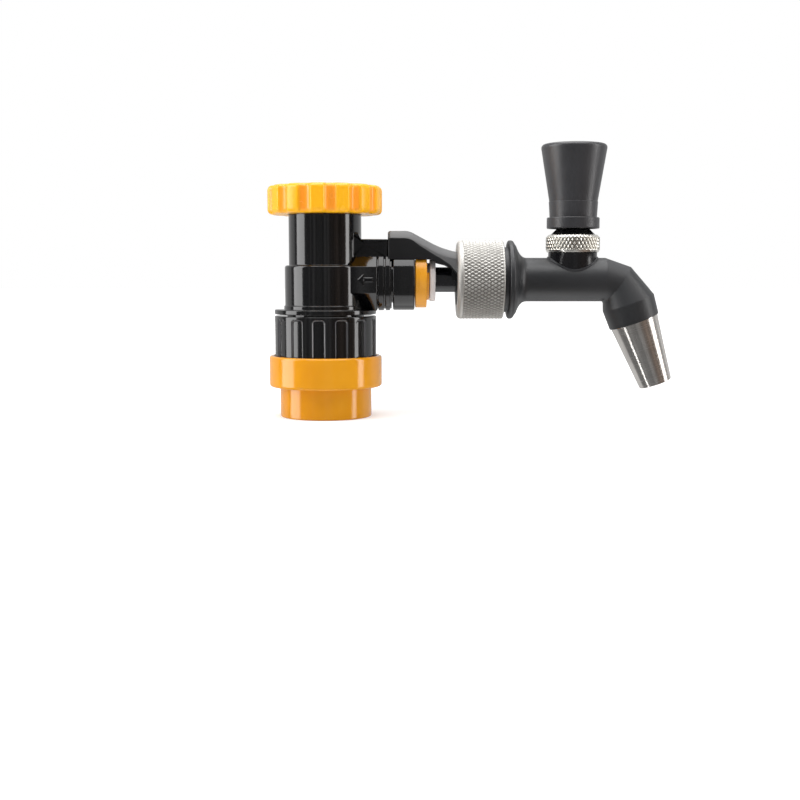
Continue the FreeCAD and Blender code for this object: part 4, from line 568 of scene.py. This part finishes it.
def flute_depth(angle, height):
    """Flutes of the sleeve: 0.62 mm deep inside a strip 4.2 mm wide, 31.7 mm high at its top.

    The strip's corners are rounded by 1.2 mm: beyond 0.9 mm from its middle line and above
    30.5 mm, a point is 1.2 mm less its distance from there inside the edge. The wall rises
    over 0.6 mm of that.
    """
    corner, straight, top = 1.2, 0.9, 30.5
    side = from_nearest(angle, 14, math.radians(-94.35))
    across, above = np.abs(SLEEVE_RADIUS * side) - straight, height - top
    beyond = np.hypot(np.maximum(across, 0), np.maximum(above, 0))
    inside = corner - beyond - np.minimum(np.maximum(across, above), 0)
    return FLUTE_DEPTH * ramp(inside, -0.1, 0.5)


def make_sleeve():
    """Ribbed sleeve: a turned outline that gives way by the depth of its flutes, with painted
    highlights on their walls.
    """
    outline = rounded([
        (14.9, 16, 0.1), (SLEEVE_RADIUS, 16, 0.15), (SLEEVE_RADIUS, 32.6, 0.35),
        (12.45, 32.6, 0.1), (12.45, 28, 0.1), (14.9, 28, 0.1)])
    outline = spaced(outline, 16.4, 30.0, 2.6)
    outline = spaced(outline, 30.2, 32.1, 0.11)
    shell = turned(outline, columns=756,
                   swell=lambda a, r, h: -flute_depth(a, h) * ramp(r, 15.2, 15.9))
    sleeve = piece("fluted_sleeve", "frame", [shell], FLUTED_BLACK,
                   ["ribbed_sleeve"])

    def edge(x, y, z):
        """Painted highlight: 4 t (1 - t) at a share t of a flute's depth, so 1 half way up its
        walls.
        """
        rise = flute_depth(np.arctan2(y, x), z) / FLUTE_DEPTH
        return 4 * rise * (1 - rise) * ramp(np.hypot(x, y), 15.6, 15.7)

    # Painted highlight: the edge attribute lightens the black on the flutes' walls.
    share_on(sleeve, "edge", edge)


def make_ring():
    """Release ring in its two bands, with the cone inside."""
    shell = turned(rounded([
        (14.1, 0, 0.15), (14.8, 0, 0.45), (14.8, 9.8, 0.35), (18.2, 9.8, 0.85),
        (18.2, 19.8, 0.8), (16.65, 19.8, 0.35), (16.65, 11.5, 0.2), (12.5, 11.5, 0.2),
        (12.5, 9.5, 0.05), (13.61, 2.1, 0.05), (14.1, 2.1, 0.05),
    ], steps=7), columns=160)
    piece("two_step_ring", "release_ring_body", [shell], RING_YELLOW,
          ["release_ring"])


def make_balls():
    """Locking balls: height r sin b and radius r cos b round each ball's middle."""
    radius, way, height = 1.5, 11.25, 6.5
    rise = np.linspace(-np.pi / 2, np.pi / 2, 17)
    outline = radius * np.stack((np.cos(rise), np.sin(rise)), 1)
    for number, angle in enumerate(np.radians((0, 120, 240)), start=1):
        centre = (way * math.cos(angle), way * math.sin(angle), height)
        piece(f"steel_ball_{number}", f"ball_{number}",
              [turned(outline, centre, columns=32, closed=False)], PLAIN_STEEL,
              [f"lock_ball_{number}"])


# Push-in outlet

def make_outlet():
    """Outlet cap, collet and stem, all turned about the outlet."""
    cap = turned(rounded([
        (4.15, 18, 0.1), (7.4, 18, 0.1), (7.4, 21.8, 0.05), (9.75, 21.8, 0.45),
        (9.75, 28.75, 0.5), (5.45, 28.75, 0.2), (5.45, 25.75, 0.1), (6.5, 19.6, 0.1),
        (6.5, 18.8, 0.1), (4.15, 18.8, 0.1),
    ]), OUTLET_AXIS, ALONG_X, 128)
    piece("turned_cap", "frame", [cap], GLOSS_BLACK, ["outlet_cap"])
    jaws = turned(rounded([
        (4.05, 20, 0.1), (5.35, 20, 0.1), (6.1, 20.6, 0.1), (6.1, 21.4, 0.1),
        (5.35, 24.75, 0.1), (5.35, 33.6, 0.1), (6.97, 33.6, 0.2), (6.97, 35.4, 0.5),
        (4.05, 35.4, 0.25),
    ]), OUTLET_AXIS, ALONG_X, 96)
    piece("collet_flange", "frame", [jaws], ACETAL, ["collet"])
    tube = turned(rounded([
        (2.7, 12.1, 0.1), (4.0, 12.1, 0.2), (4.0, 56.1, 0.2), (2.7, 56.1, 0.1),
    ]), OUTLET_AXIS, ALONG_X, 96)
    piece("rigid_stem", "frame", [tube], STEM_BLACK, ["stem_tube"])


def bowed(outer, inner, stations):
    """Prism of a bow: an outer path and, run back, an inner one with as many points.

    Both are carried along the outlet through stations (height, inset).
    """
    outline = np.vstack((outer, inner))
    rows = np.array([np.column_stack((inset_loop(outline, inset), np.full(len(outline), high)))
                     for high, inset in stations])
    points, quads = grid(rows @ ALONG_X + np.array(OUTLET_AXIS))
    return points, np.concatenate((quads, *bow_ends(len(outer), len(stations))))


def bow_ends(count, rows):
    """Quads that close the two ends of rows of 2 count points.

    They join each point of a row's first half to its partner on the way back.
    """
    near = np.arange(count - 1)
    far = 2 * count - 1 - near
    strip = np.stack((near, far, far - 1, near + 1), -1)
    return strip, strip[:, ::-1] + 2 * count * (rows - 1)


def circle(radius, start, end, count):
    """Points of an arc between two angles."""
    angle = np.linspace(start, end, count)[:, None]
    return radius * np.hstack((np.cos(angle), np.sin(angle)))


def horseshoe(radius, tips, low, high, edge):
    """Horseshoe round the stem: an arc outside, and inside a half circle with straight sides."""
    inside = 5.45
    lift = math.asin(tips / radius)
    rise = np.linspace(tips, 0, 21)[:-1, None]
    right = np.hstack((np.full_like(rise, inside), rise))
    left = np.hstack((np.full_like(rise, -inside), rise[::-1]))
    inner = np.vstack((right, circle(inside, 0, -np.pi, 41), left))
    return bowed(circle(radius, np.pi - lift, TURN + lift, 81), inner, eased(low, high, edge))


def make_clip():
    """Lock clip: a wide horseshoe and its narrow hub."""
    piece("horseshoe_clip", "lock_clip",
          [horseshoe(8.97, 6.45, 28.95, 32.6, 0.25), horseshoe(6.5, 2.3, 32.5, 33.4, 0.12)],
          CLIP_ORANGE, ["collet_lock_clip"], sharp=50)


# Support arm and coupling nut

ARM_HALF = 7.5         # half the arm's width


def arm_top(x):
    """Height of the arm's top: level, a 6 mm bend, a slope of 28.6 degrees, a 28 mm bend."""
    slope_start, slope_end = 28.3327, 33.6089
    bend = 53.5 + np.sqrt(np.maximum(6.0 ** 2 - np.maximum(x - 25.4606, 0) ** 2, 0))
    slope = 58.7679 - (x - slope_start) * math.tan(math.radians(28.6))
    dip = 80.475 - np.sqrt(28.0 ** 2 - np.minimum(47.012 - x, 20) ** 2)
    return np.where(x < slope_start, bend, np.where(x < slope_end, slope, dip))


def arm_band(x):
    """Height of the lower edge of the painted sheen band along the arm's top."""
    return arm_top(x) - np.interp(
        x, (20, 28, 30.5, 33.7, 37, 39.9, 42.1), (2.2, 2.4, 2.9, 3.1, 3.5, 4.5, 6.6))


def arm_section(x):
    """Section of the arm at each station: rounded box outside, arch and pocket inside.

    foot is the height of its lower edges and half the half width of the room between them.
    The arch over the stem is a circle of radius way about the outlet's axis, so at y it is
    sqrt(way^2 - y^2) above that. The pocket for the body's tenon goes up to 57 mm.
    At an angle q of the bend along its top edge, the side gives way by 2.4 (1 - cos^1.6 q)
    and the top by 2.4 (1 - sin^1.6 q), which lies between a quarter circle and a chamfer.
    Two rows of points, 0.1 mm below and above the edge of the painted sheen band, keep its tint
    sharp there. The rear end is rounded by 0.8 mm.
    """
    bend = 2.4
    foot = np.interp(x, (33.3, 36.1, 38.6, 40.3, 42.15), (50.613, 49.313, 48.713, 47.813, 45.7))
    way = np.interp(x, (34, 36.1, 38.6, 40.3, 40.59, 40.6), (9.95, 7.35, 6.2, 5.6, 5.5, 4.1))
    half = np.minimum(ARM_HALF, np.sqrt(np.maximum(way ** 2 - (foot - OUTLET) ** 2, 16.9)))
    foot = np.where(half >= ARM_HALF,
                    OUTLET + np.sqrt(np.maximum(way ** 2 - ARM_HALF ** 2, 0)), foot)
    edge = 0.8 - np.sqrt(np.maximum(0.64 - np.clip(21.0 - x, 0, 0.8) ** 2, 0))
    top, side = arm_top(x) - edge, ARM_HALF - edge
    q = np.linspace(0, np.pi / 2, 13)[None, :]
    bend_y = (side[:, None] - bend) + bend * np.cos(q) ** 1.6
    bend_z = (top[:, None] - bend) + bend * np.sin(q) ** 1.6
    flat = np.zeros_like(x)
    dark = np.clip(arm_band(x) - 0.1, foot + 0.25, top - 2.6)
    light = np.clip(arm_band(x) + 0.1, foot + 0.3, top - 2.5)
    right = np.concatenate((
        np.stack((np.stack((half, side, side, side, side), 1),
                  np.stack((foot, foot, foot + 0.2, dark, light), 1)), -1),
        np.stack((bend_y, bend_z), -1), np.stack((side - 2.6, top), -1)[:, None],
    ), 1)
    middle = np.stack((flat, top), -1)[:, None]
    outer = np.concatenate((right, middle, right[:, ::-1] * (-1, 1)), 1)
    left = np.array((-7.5, -7.1, -6.8, -6.5, -6.11, -6.1, -5.4, -4.5, -3.6, -2.7, -1.8, -0.9))
    spots = np.concatenate((left, (0, 0, 0), -left[::-1]))
    across = spots[None, :] * (half / ARM_HALF)[:, None]
    arch = OUTLET + np.sqrt(np.maximum(way[:, None] ** 2 - across ** 2, 0))
    pocket = (np.abs(across) < 6.105) & (x[:, None] < 28.6)
    inner = np.stack((across, np.where(pocket, 57.0, arch)), -1)
    return np.concatenate((outer, inner), 1)


def make_arm():
    """Support arm: its sections carried along the outlet, then saddle and shank."""
    x = np.concatenate((
        20.2 + 0.8 * (1 - np.cos(np.linspace(0, np.pi / 2, 5))), np.linspace(21.3, 25.4, 8),
        np.linspace(25.46, 28.34, 7), (28.599, 28.601), np.linspace(29.5, 33.3, 5),
        np.linspace(33.6, 40.59, 16), (40.6, 41.3, 42.0, 42.15)))
    flat = arm_section(x)
    rows = np.concatenate((flat, np.broadcast_to(x[:, None, None], (*flat.shape[:2], 1))), -1)
    rows = rows @ ALONG_X
    points, quads = grid(rows)
    body = points, np.concatenate((quads, *bow_ends(flat.shape[1] // 2, len(x))))
    saddle = bowed(circle(8.8, 0.6, np.pi - 0.6, 33), circle(4.1, np.pi - 0.6, 0.6, 33),
                   eased(40.6, 42.15, 0.15))
    shank = turned(rounded([
        (4.1, 42, 0.1), (8, 42, 0.1), (8, 45.3, 0.05), (7.4, 45.3, 0.05), (7.4, 46.5, 0.05),
        (8, 46.5, 0.05), (8, 48.2, 0.3), (4.1, 48.2, 0.1)]), OUTLET_AXIS, ALONG_X, 96)
    arm = piece("curved_arm", "frame", [body, saddle, shank], ARM_GREY,
                ["support_arm"])
    # Painted sheen: a light band along the arm's top, from the band's lower edge upwards.
    share_on(arm, "painted_sheen", lambda x, y, z: ramp(z - arm_band(x), -0.09, 0.09))


def knurl(angle, along, starts, lead):
    """Diamond knurl: 0 in the grooves, 1 on the diamonds.

    Two sets of grooves cross. A point's share of the way round, times the starts, plus or
    minus its way along the axis over the lead, is whole on a groove, and the height rises
    over 0.42 of the way to the next one.
    """
    turns, rise = starts * angle / TURN, along / lead
    near = [np.abs((phase + 0.5) % 1 - 0.5) for phase in (turns + rise, turns - rise)]
    return np.minimum(np.minimum(*near) / 0.42, 1)


def knurled(names, finish, outline, centre, axes, starts, lead, depth, rim, floor, span):
    """Nut whose rim sinks by depth in the grooves of its knurl, whose valleys get painted shade.

    names are the piece, its body and its solid. The knurl fades in over the two radii of
    rim, its painted shade over those of floor, and both fade in and out over the heights of span.
    """
    name, body, solid = names
    shell = turned(outline, centre, axes, 8 * starts, swell=lambda a, r, h: -depth
                   * (1 - knurl(a, h, starts, lead)) * ramp(r, *rim) * within(h, *span))
    nut = piece(name, body, [shell], finish, [solid], 75)

    def valley_shade(x, y, z):
        """Painted shade in the valleys: 1 up to a tenth of a diamond's height, and 0 from 0.55 of
        it.
        """
        across, up, along = axes @ (np.stack((x, y, z)) - np.array(centre)[:, None])
        return (ramp(-knurl(np.arctan2(up, across), along, starts, lead), -0.55, -0.1)
                * ramp(np.hypot(across, up), *floor) * within(along, *span))

    # Painted shade: the knurl's valleys darken towards a dull grey-brown.
    share_on(nut, "valley_shade", valley_shade)


def make_nut():
    """Coupling nut, which turns on the arm's shank."""
    lead = 2.0776
    outline = rounded([
        (8.2, 42.25, 0.1), (12.6, 42.25, 1.4), (12.6, 57.1, 0.5), (10.5, 57.1, 0.2),
        (10.5, 45.25, 0.1), (8.2, 45.25, 0.1)])
    knurled(("knurled_nut", "nut", "coupling_nut"), NUT_STEEL,
            spaced(outline, 44.0, 56.6, lead / 16), OUTLET_AXIS, ALONG_X, 66, lead, 0.30,
            (12.2, 12.4), (11.9, 12.1), (43.9, 44.3, 56.4, 56.7))


# Tap

def make_tap():
    """Tap body as one grid of elliptical sections, from its tail to its elbow and back inside.

    A section is centre + half width cos a along +Y + half height sin a, where the half
    height points from its lowest to its highest point. The flare behind the flange has the
    radius 7 + 3.9 (1 - s)^2.6 at a share s of its length.
    """
    barrel = rounded([
        (10.4, 49.7, 0.3), (10.4, 58.6, 0.1), (12.57, 58.6, 0.6), (12.57, 60.1, 0.85),
        (11.0, 61.1, 0.2)], closed=False)[1:-1]
    s = np.linspace(0, 1, 14)
    flare = np.stack((7 + 3.9 * (1 - s) ** 2.6, 61.2 + 3.8 * s), 1)
    outline = np.vstack((barrel, flare, [(7, x) for x in (66.0, 72.0, 78.0, 83.7)]))
    straight = [((x, OUTLET + r), (x, OUTLET - r), r) for r, x in outline]
    steps = [
        ((84.0, 51.1), (84.0, 37.1), 7.0), ((90.1, 51.1), (89.4, 37.1), 7.0),
        ((98.4, 48.2), (89.65, 36.6), 6.4), ((105.9, 39.6), (89.75, 33.9), 8.45),
        ((107.4956, 33.6314), (92.1044, 27.9686), 8.2)]
    bend = []
    for here, there in zip(steps[:-1], steps[1:]):
        for share in (0.02, 0.5, 0.98):
            bend.append([np.array(a) * (1 - share) + np.array(b) * share
                         for a, b in zip(here, there)])
        bend.append(there)
    direction = np.array((-math.sin(SPOUT_LEAN), math.cos(SPOUT_LEAN)))
    across = np.array((math.cos(SPOUT_LEAN), math.sin(SPOUT_LEAN)))
    spout = np.array((SPOUT[0], SPOUT[2]))
    way = [(spout + direction * depth + across * r, spout + direction * depth - across * r, r)
           for r, depth in ((8.05, 0.0), (6.0, 0.0), (6.0, 0.1), (6.0, 6.4), (6.0, 6.5),
                            (4.2, 6.5), (4.2, 6.6), (4.0, 8.5))]
    bore = [((x, OUTLET + r), (x, OUTLET - r), r) for r, x in (
        (3.0, 91.0), (3.0, 89.0), (5.0, 87.0), (5.0, 86.8), (5.0, 70.0), (5.0, 49.8), (5.0, 49.7))]
    table = [*straight, *bend, *way, *bore]
    high = np.array([row[0] for row in table], float)
    low = np.array([row[1] for row in table], float)
    half = np.array([row[2] for row in table], float)
    angle = np.arange(128)[None, :] * (TURN / 128)
    centre, up = (high + low) / 2, (high - low) / 2
    points = np.stack((
        centre[:, :1] + up[:, :1] * np.sin(angle), half[:, None] * np.cos(angle),
        centre[:, 1:] + up[:, 1:] * np.sin(angle)), -1)
    piece("bent_tap", "frame", [grid(points, along=True)], TAP_GREY,
          ["tap_body"])


def make_neck():
    """Neck that grows out of the barrel: straight lines from an ellipse to a circle, darkened with
    painted shade.

    At w above the barrel's axis the half depth is d = root + growth w. The neck meets a
    barrel of radius r where (d sin a)^2 + w^2 is r^2.
    """
    half_width, root, growth = 7.8, 5.6, 0.2529
    angle = np.arange(128) * (TURN / 128)
    sine, cosine = np.sin(angle), np.cos(angle)

    def seam(radius):
        """Height w at which the neck meets a barrel, from a w^2 + b w + c = 0."""
        a, b = 1 + (growth * sine) ** 2, 2 * root * growth * sine ** 2
        c = (root * sine) ** 2 - radius ** 2
        return (np.sqrt(b ** 2 - 4 * a * c) - b) / (2 * a)

    def belt(w, grow=0.0):
        """Points round the neck at w, and grow outside it."""
        return np.stack((NECK + (half_width + grow) * cosine,
                         (root + growth * w + grow) * sine, OUTLET + w), -1)

    def ring(radius, height):
        """Points of a circle round the neck's axis."""
        return np.stack((NECK + radius * cosine, radius * sine,
                         np.broadcast_to(height, cosine.shape)), -1)

    foot, top = seam(6.7), np.full_like(sine, 8.7)
    rows = [belt(foot + (top - foot) * share) for share in (0, 0.3, 0.6, 0.97)]
    rows += [ring(7.8, 52.7), ring(7.75, 52.8), ring(7.6, 52.8), ring(7.55, 52.85),
             ring(7.55, 56.9), ring(7.45, 57.0), ring(6.35, 57.0), ring(6.35, 56.9),
             ring(6.35, 50.5), ring(6.35, 50.4), ring(4.4, 50.4),
             ring(4.4, OUTLET + np.sqrt(36 - (4.4 * sine) ** 2))]
    joint = seam(7.0)
    turn = np.linspace(0, TURN, 9)[:-1]
    fillet = np.stack([belt(joint + 0.45 * math.sin(t), 0.45 * math.cos(t)) for t in turn])
    # Painted shade: the neck wears a darker copy of the tap's grey.
    piece("saddle_neck", "frame", [grid(np.stack(rows), along=True)], NECK_SHADED,
          [])
    piece("neck_fillet", "frame", [grid(fillet[::-1], along=True)], TAP_GREY,
          [])


def make_bonnet():
    """Bonnet nut with its knurl, and the cone of the upper seat inside it."""
    lead = 2.1392
    outline = rounded([
        (7.65, 52.85, 0.1), (8.2, 52.85, 0.1), (8.65, 53.75, 0.15), (8.65, 57.5, 0.15),
        (7.75, 58.4, 0.1), (7.3, 58.4, 0.1), (7.3, 57.5, 0.1), (7.65, 57.5, 0.1)])
    knurled(("knurled_bonnet", "frame", "bonnet_nut"), BONNET_STEEL,
            spaced(outline, 53.3, 58.1, lead / 16), NECK_AXIS, ALONG_Z, 44, lead, 0.28,
            (8.3, 8.5), (8.1, 8.3), (53.5, 53.8, 57.5, 57.8))
    cone = turned(rounded([
        (6.03, 57.05, 0.05), (7.5, 57.05, 0.05), (7.5, 57.45, 0.05), (7.2, 57.45, 0.05),
        (7.2, 58.4, 0.1), (5.1, 60.4, 0.1), (4.4, 60.4, 0.1), (4.4, 59.84, 0.05),
        (5.25, 58.8, 0.1)]), NECK_AXIS, columns=96)
    piece("seat_cone", "frame", [cone], SEAT_BLACK, ["lever_upper_seat"])


def make_handle():
    """Handle: ring at its foot, neck, fine step and cone."""
    shell = turned(rounded([
        (0, 72.2, 0), (4.05, 72.2, 0.1), (4.05, 62.6, 0.1), (7.6, 62.6, 0.1),
        (7.6, 60.4, 0.15), (8.4, 60.4, 0.3), (8.4, 63.9, 0.3), (7.53, 63.9, 0.08),
        (7.82, 68.9, 0.06), (7.67, 68.9, 0.05), (10.65, 87, 1.15), (0, 87, 0),
    ], closed=False), NECK_AXIS, columns=144, closed=False)
    piece("tapered_handle", "lever_body", [shell], HANDLE_GREY, ["handle"])


def make_spout():
    """Spout tip, turned about the spout, with its spigot in the elbow."""
    shell = turned(rounded([
        (4.4, -21.5, 0.1), (5.3, -21.5, 0.3), (7.8, -0.05, 0.12), (5.95, -0.05, 0.05),
        (5.95, 2.5, 0.05), (4.94, 2.5, 0.05), (4.94, 3.7, 0.05), (5.95, 3.7, 0.05),
        (5.95, 6.2, 0.1), (4.4, 6.2, 0.1),
    ]), SPOUT, ALONG_SPOUT)
    piece("steel_spout_tip", "frame", [shell], SPOUT_STEEL, ["spout_tip"])


# Solids that keep their own shape

def dress(finish, *names):
    """Gives carried-over solids a finish in place of their plain one."""
    for name in names:
        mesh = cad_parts[name].data
        mesh.materials.clear()
        mesh.materials.append(finish)


def dress_solids():
    """Springs, seals, valves and the other small solids."""
    dress(SPRING_STEEL, "release_spring", "release_circlip", "poppet_spring", "shank_snap_ring",
          "lever", "shuttle", "handle_insert")
    dress(SEAL, "needle_o_ring", "poppet_seal", "stem_o_ring_inner", "stem_o_ring_outer",
          "tail_seal", "stem_tail_o_ring", "shuttle_front_seal", "spout_o_ring")
    dress(ACETAL, "flow_needle", "flow_seat", "poppet", "o_ring_spacer", "tail_bush",
          "lever_lower_seat")
    dress(SEAT_BLACK, "flow_spindle")


# Floor, light and camera

FLOOR_GLOW = 0.30             # the floor's own light near the object, for the camera only
WORLD_LIGHT = 0.22            # the world as plain light
DIM, STREAK = 0.15, 0.45      # the world in reflections: in front, and its upright streaks
BEHIND, BELOW = 0.7, 1.2      # the world in reflections: behind and below the object
LIT_POINT = (0.045, 0, 0.045)


def make_floor():
    """Floor: a wide square at z = 0, white to the camera round the object's shadow.

    Its glow grows away from the object, and reflections see through it to the studio.
    """
    mesh = bpy.data.meshes.new("floor")
    side = 3.0
    mesh.from_pydata([(-side, -side, 0), (side, -side, 0), (side, side, 0), (-side, side, 0)],
                     [], [(0, 1, 2, 3)])
    material, tree, shader, place = new_material("floor_paper", Roughness=0.9)
    shader.inputs["Base Color"].default_value = (0.82, 0.82, 0.82, 1)
    shader.inputs["Emission Color"].default_value = (1, 1, 1, 1)
    path = tree.nodes.new("ShaderNodeLightPath")
    away = node(tree, "ShaderNodeVectorMath", (("Vector", place),), operation="LENGTH")
    glow = mapped(tree, away.outputs["Value"], 0.14, 0.5, FLOOR_GLOW, 1.0)
    seen = math_node(tree, "MULTIPLY", path.outputs["Is Camera Ray"], glow)
    tree.links.new(seen, shader.inputs["Emission Strength"])
    clear = tree.nodes.new("ShaderNodeBsdfTransparent")
    mix = tree.nodes.new("ShaderNodeMixShader")
    for index, source in enumerate((path.outputs["Is Glossy Ray"], shader.outputs[0],
                                    clear.outputs[0])):
        tree.links.new(source, mix.inputs[index])
    tree.links.new(mix.outputs[0], tree.nodes["Material Output"].inputs["Surface"])
    mesh.materials.append(material)
    floor = bpy.data.objects.new("floor", mesh)
    bpy.context.scene.collection.objects.link(floor)


def make_world():
    """World: white to the camera and plain as light.

    Reflections see it bright behind and below, dim with upright streaks in front, and
    brownish in front at the right.
    """
    world = bpy.data.worlds.new("studio")
    bpy.context.scene.world = world
    world.use_nodes = True
    tree = world.node_tree
    sky = tree.nodes["Background"]
    path = tree.nodes.new("ShaderNodeLightPath")
    seen = math_node(tree, "MAXIMUM", path.outputs["Is Camera Ray"],
                     path.outputs["Is Transmission Ray"])
    ray = node(tree, "ShaderNodeTexCoord")
    split = node(tree, "ShaderNodeSeparateXYZ", (("Vector", ray.outputs["Generated"]),))
    streaks = node(tree, "ShaderNodeTexNoise", (("W", split.outputs["X"]),),
                   noise_dimensions="1D", Scale=7.0, Detail=3.0)
    front = math_node(tree, "ADD", mapped(tree, streaks.outputs[0], 0.42, 0.72, DIM, STREAK),
                      mapped(tree, split.outputs["Z"], -0.84, -0.93, 0.0, BELOW))
    back = mapped(tree, split.outputs["Y"], 0.25, 0.36, 0.0, BEHIND)
    glossy = path.outputs["Is Glossy Ray"]
    plain = math_node(tree, "SUBTRACT", WORLD_LIGHT, math_node(tree, "MULTIPLY", glossy,
                                                               WORLD_LIGHT))
    shown = math_node(tree, "MULTIPLY_ADD", glossy, math_node(tree, "MAXIMUM", front, back), plain)
    right = mapped(tree, split.outputs["X"], 0.1, 0.6, 0.0, 0.7)
    ahead = mapped(tree, split.outputs["Y"], 0.1, -0.1, 0.0, 1.0)
    brown = math_node(tree, "MULTIPLY", math_node(tree, "MULTIPLY", glossy, right), ahead)
    tree.links.new(between(tree, brown, (1, 1, 1), (1, 0.70, 0.52)), sky.inputs["Color"])
    tree.links.new(math_node(tree, "MAXIMUM", seen, shown), sky.inputs["Strength"])


def softbox(name, place, size, bright):
    """Rectangular area light that faces the lit point; bright is its radiance."""
    lamp = bpy.data.lights.new(name, "AREA")
    lamp.shape = "RECTANGLE"
    lamp.size, lamp.size_y = size
    lamp.energy = 4 * bright * size[0] * size[1]
    thing = bpy.data.objects.new(name, lamp)
    thing.location = place
    away = Vector(place) - Vector(LIT_POINT)
    thing.rotation_euler = away.to_track_quat("Z", "Y").to_euler()
    thing.visible_camera = False
    bpy.context.scene.collection.objects.link(thing)


def make_camera():
    """Camera with the photograph's distance and lens, 6.3 degrees downward."""
    data = bpy.data.cameras.new("camera")
    data.lens, data.sensor_width = 51.975, 36
    camera = bpy.data.objects.new("camera", data)
    camera.location = (0.02407, -0.3746, 0.04625)
    camera.rotation_euler = (math.radians(90 - 6.275), 0, 0)
    bpy.context.scene.collection.objects.link(camera)
    bpy.context.scene.camera = camera


def make_lights():
    """Softboxes at the left and right, above and high in front, and a low strip at the left."""
    softbox("left_softbox", (-0.55, -0.10, 0.20), (0.34, 0.76), 3.7)
    softbox("right_softbox", (0.66, -0.14, 0.20), (0.16, 0.76), 4.4)
    softbox("top_softbox", (0.045, 0.10, 0.74), (0.8, 0.56), 2.9)
    softbox("front_softbox", (0.045, -0.33, 0.75), (0.9, 0.32), 3.0)
    softbox("low_strip", (-0.42, -0.31, -0.36), (0.03, 0.60), 8.0)


make_camera()
make_world()
make_floor()
make_lights()
for make in (make_knob, make_body, make_sleeve, make_ring, make_balls, make_outlet, make_clip,
             make_arm, make_nut, make_tap, make_neck, make_bonnet, make_handle, make_spout,
             dress_solids):
    make()
bpy.context.scene.view_settings.view_transform = "Standard"
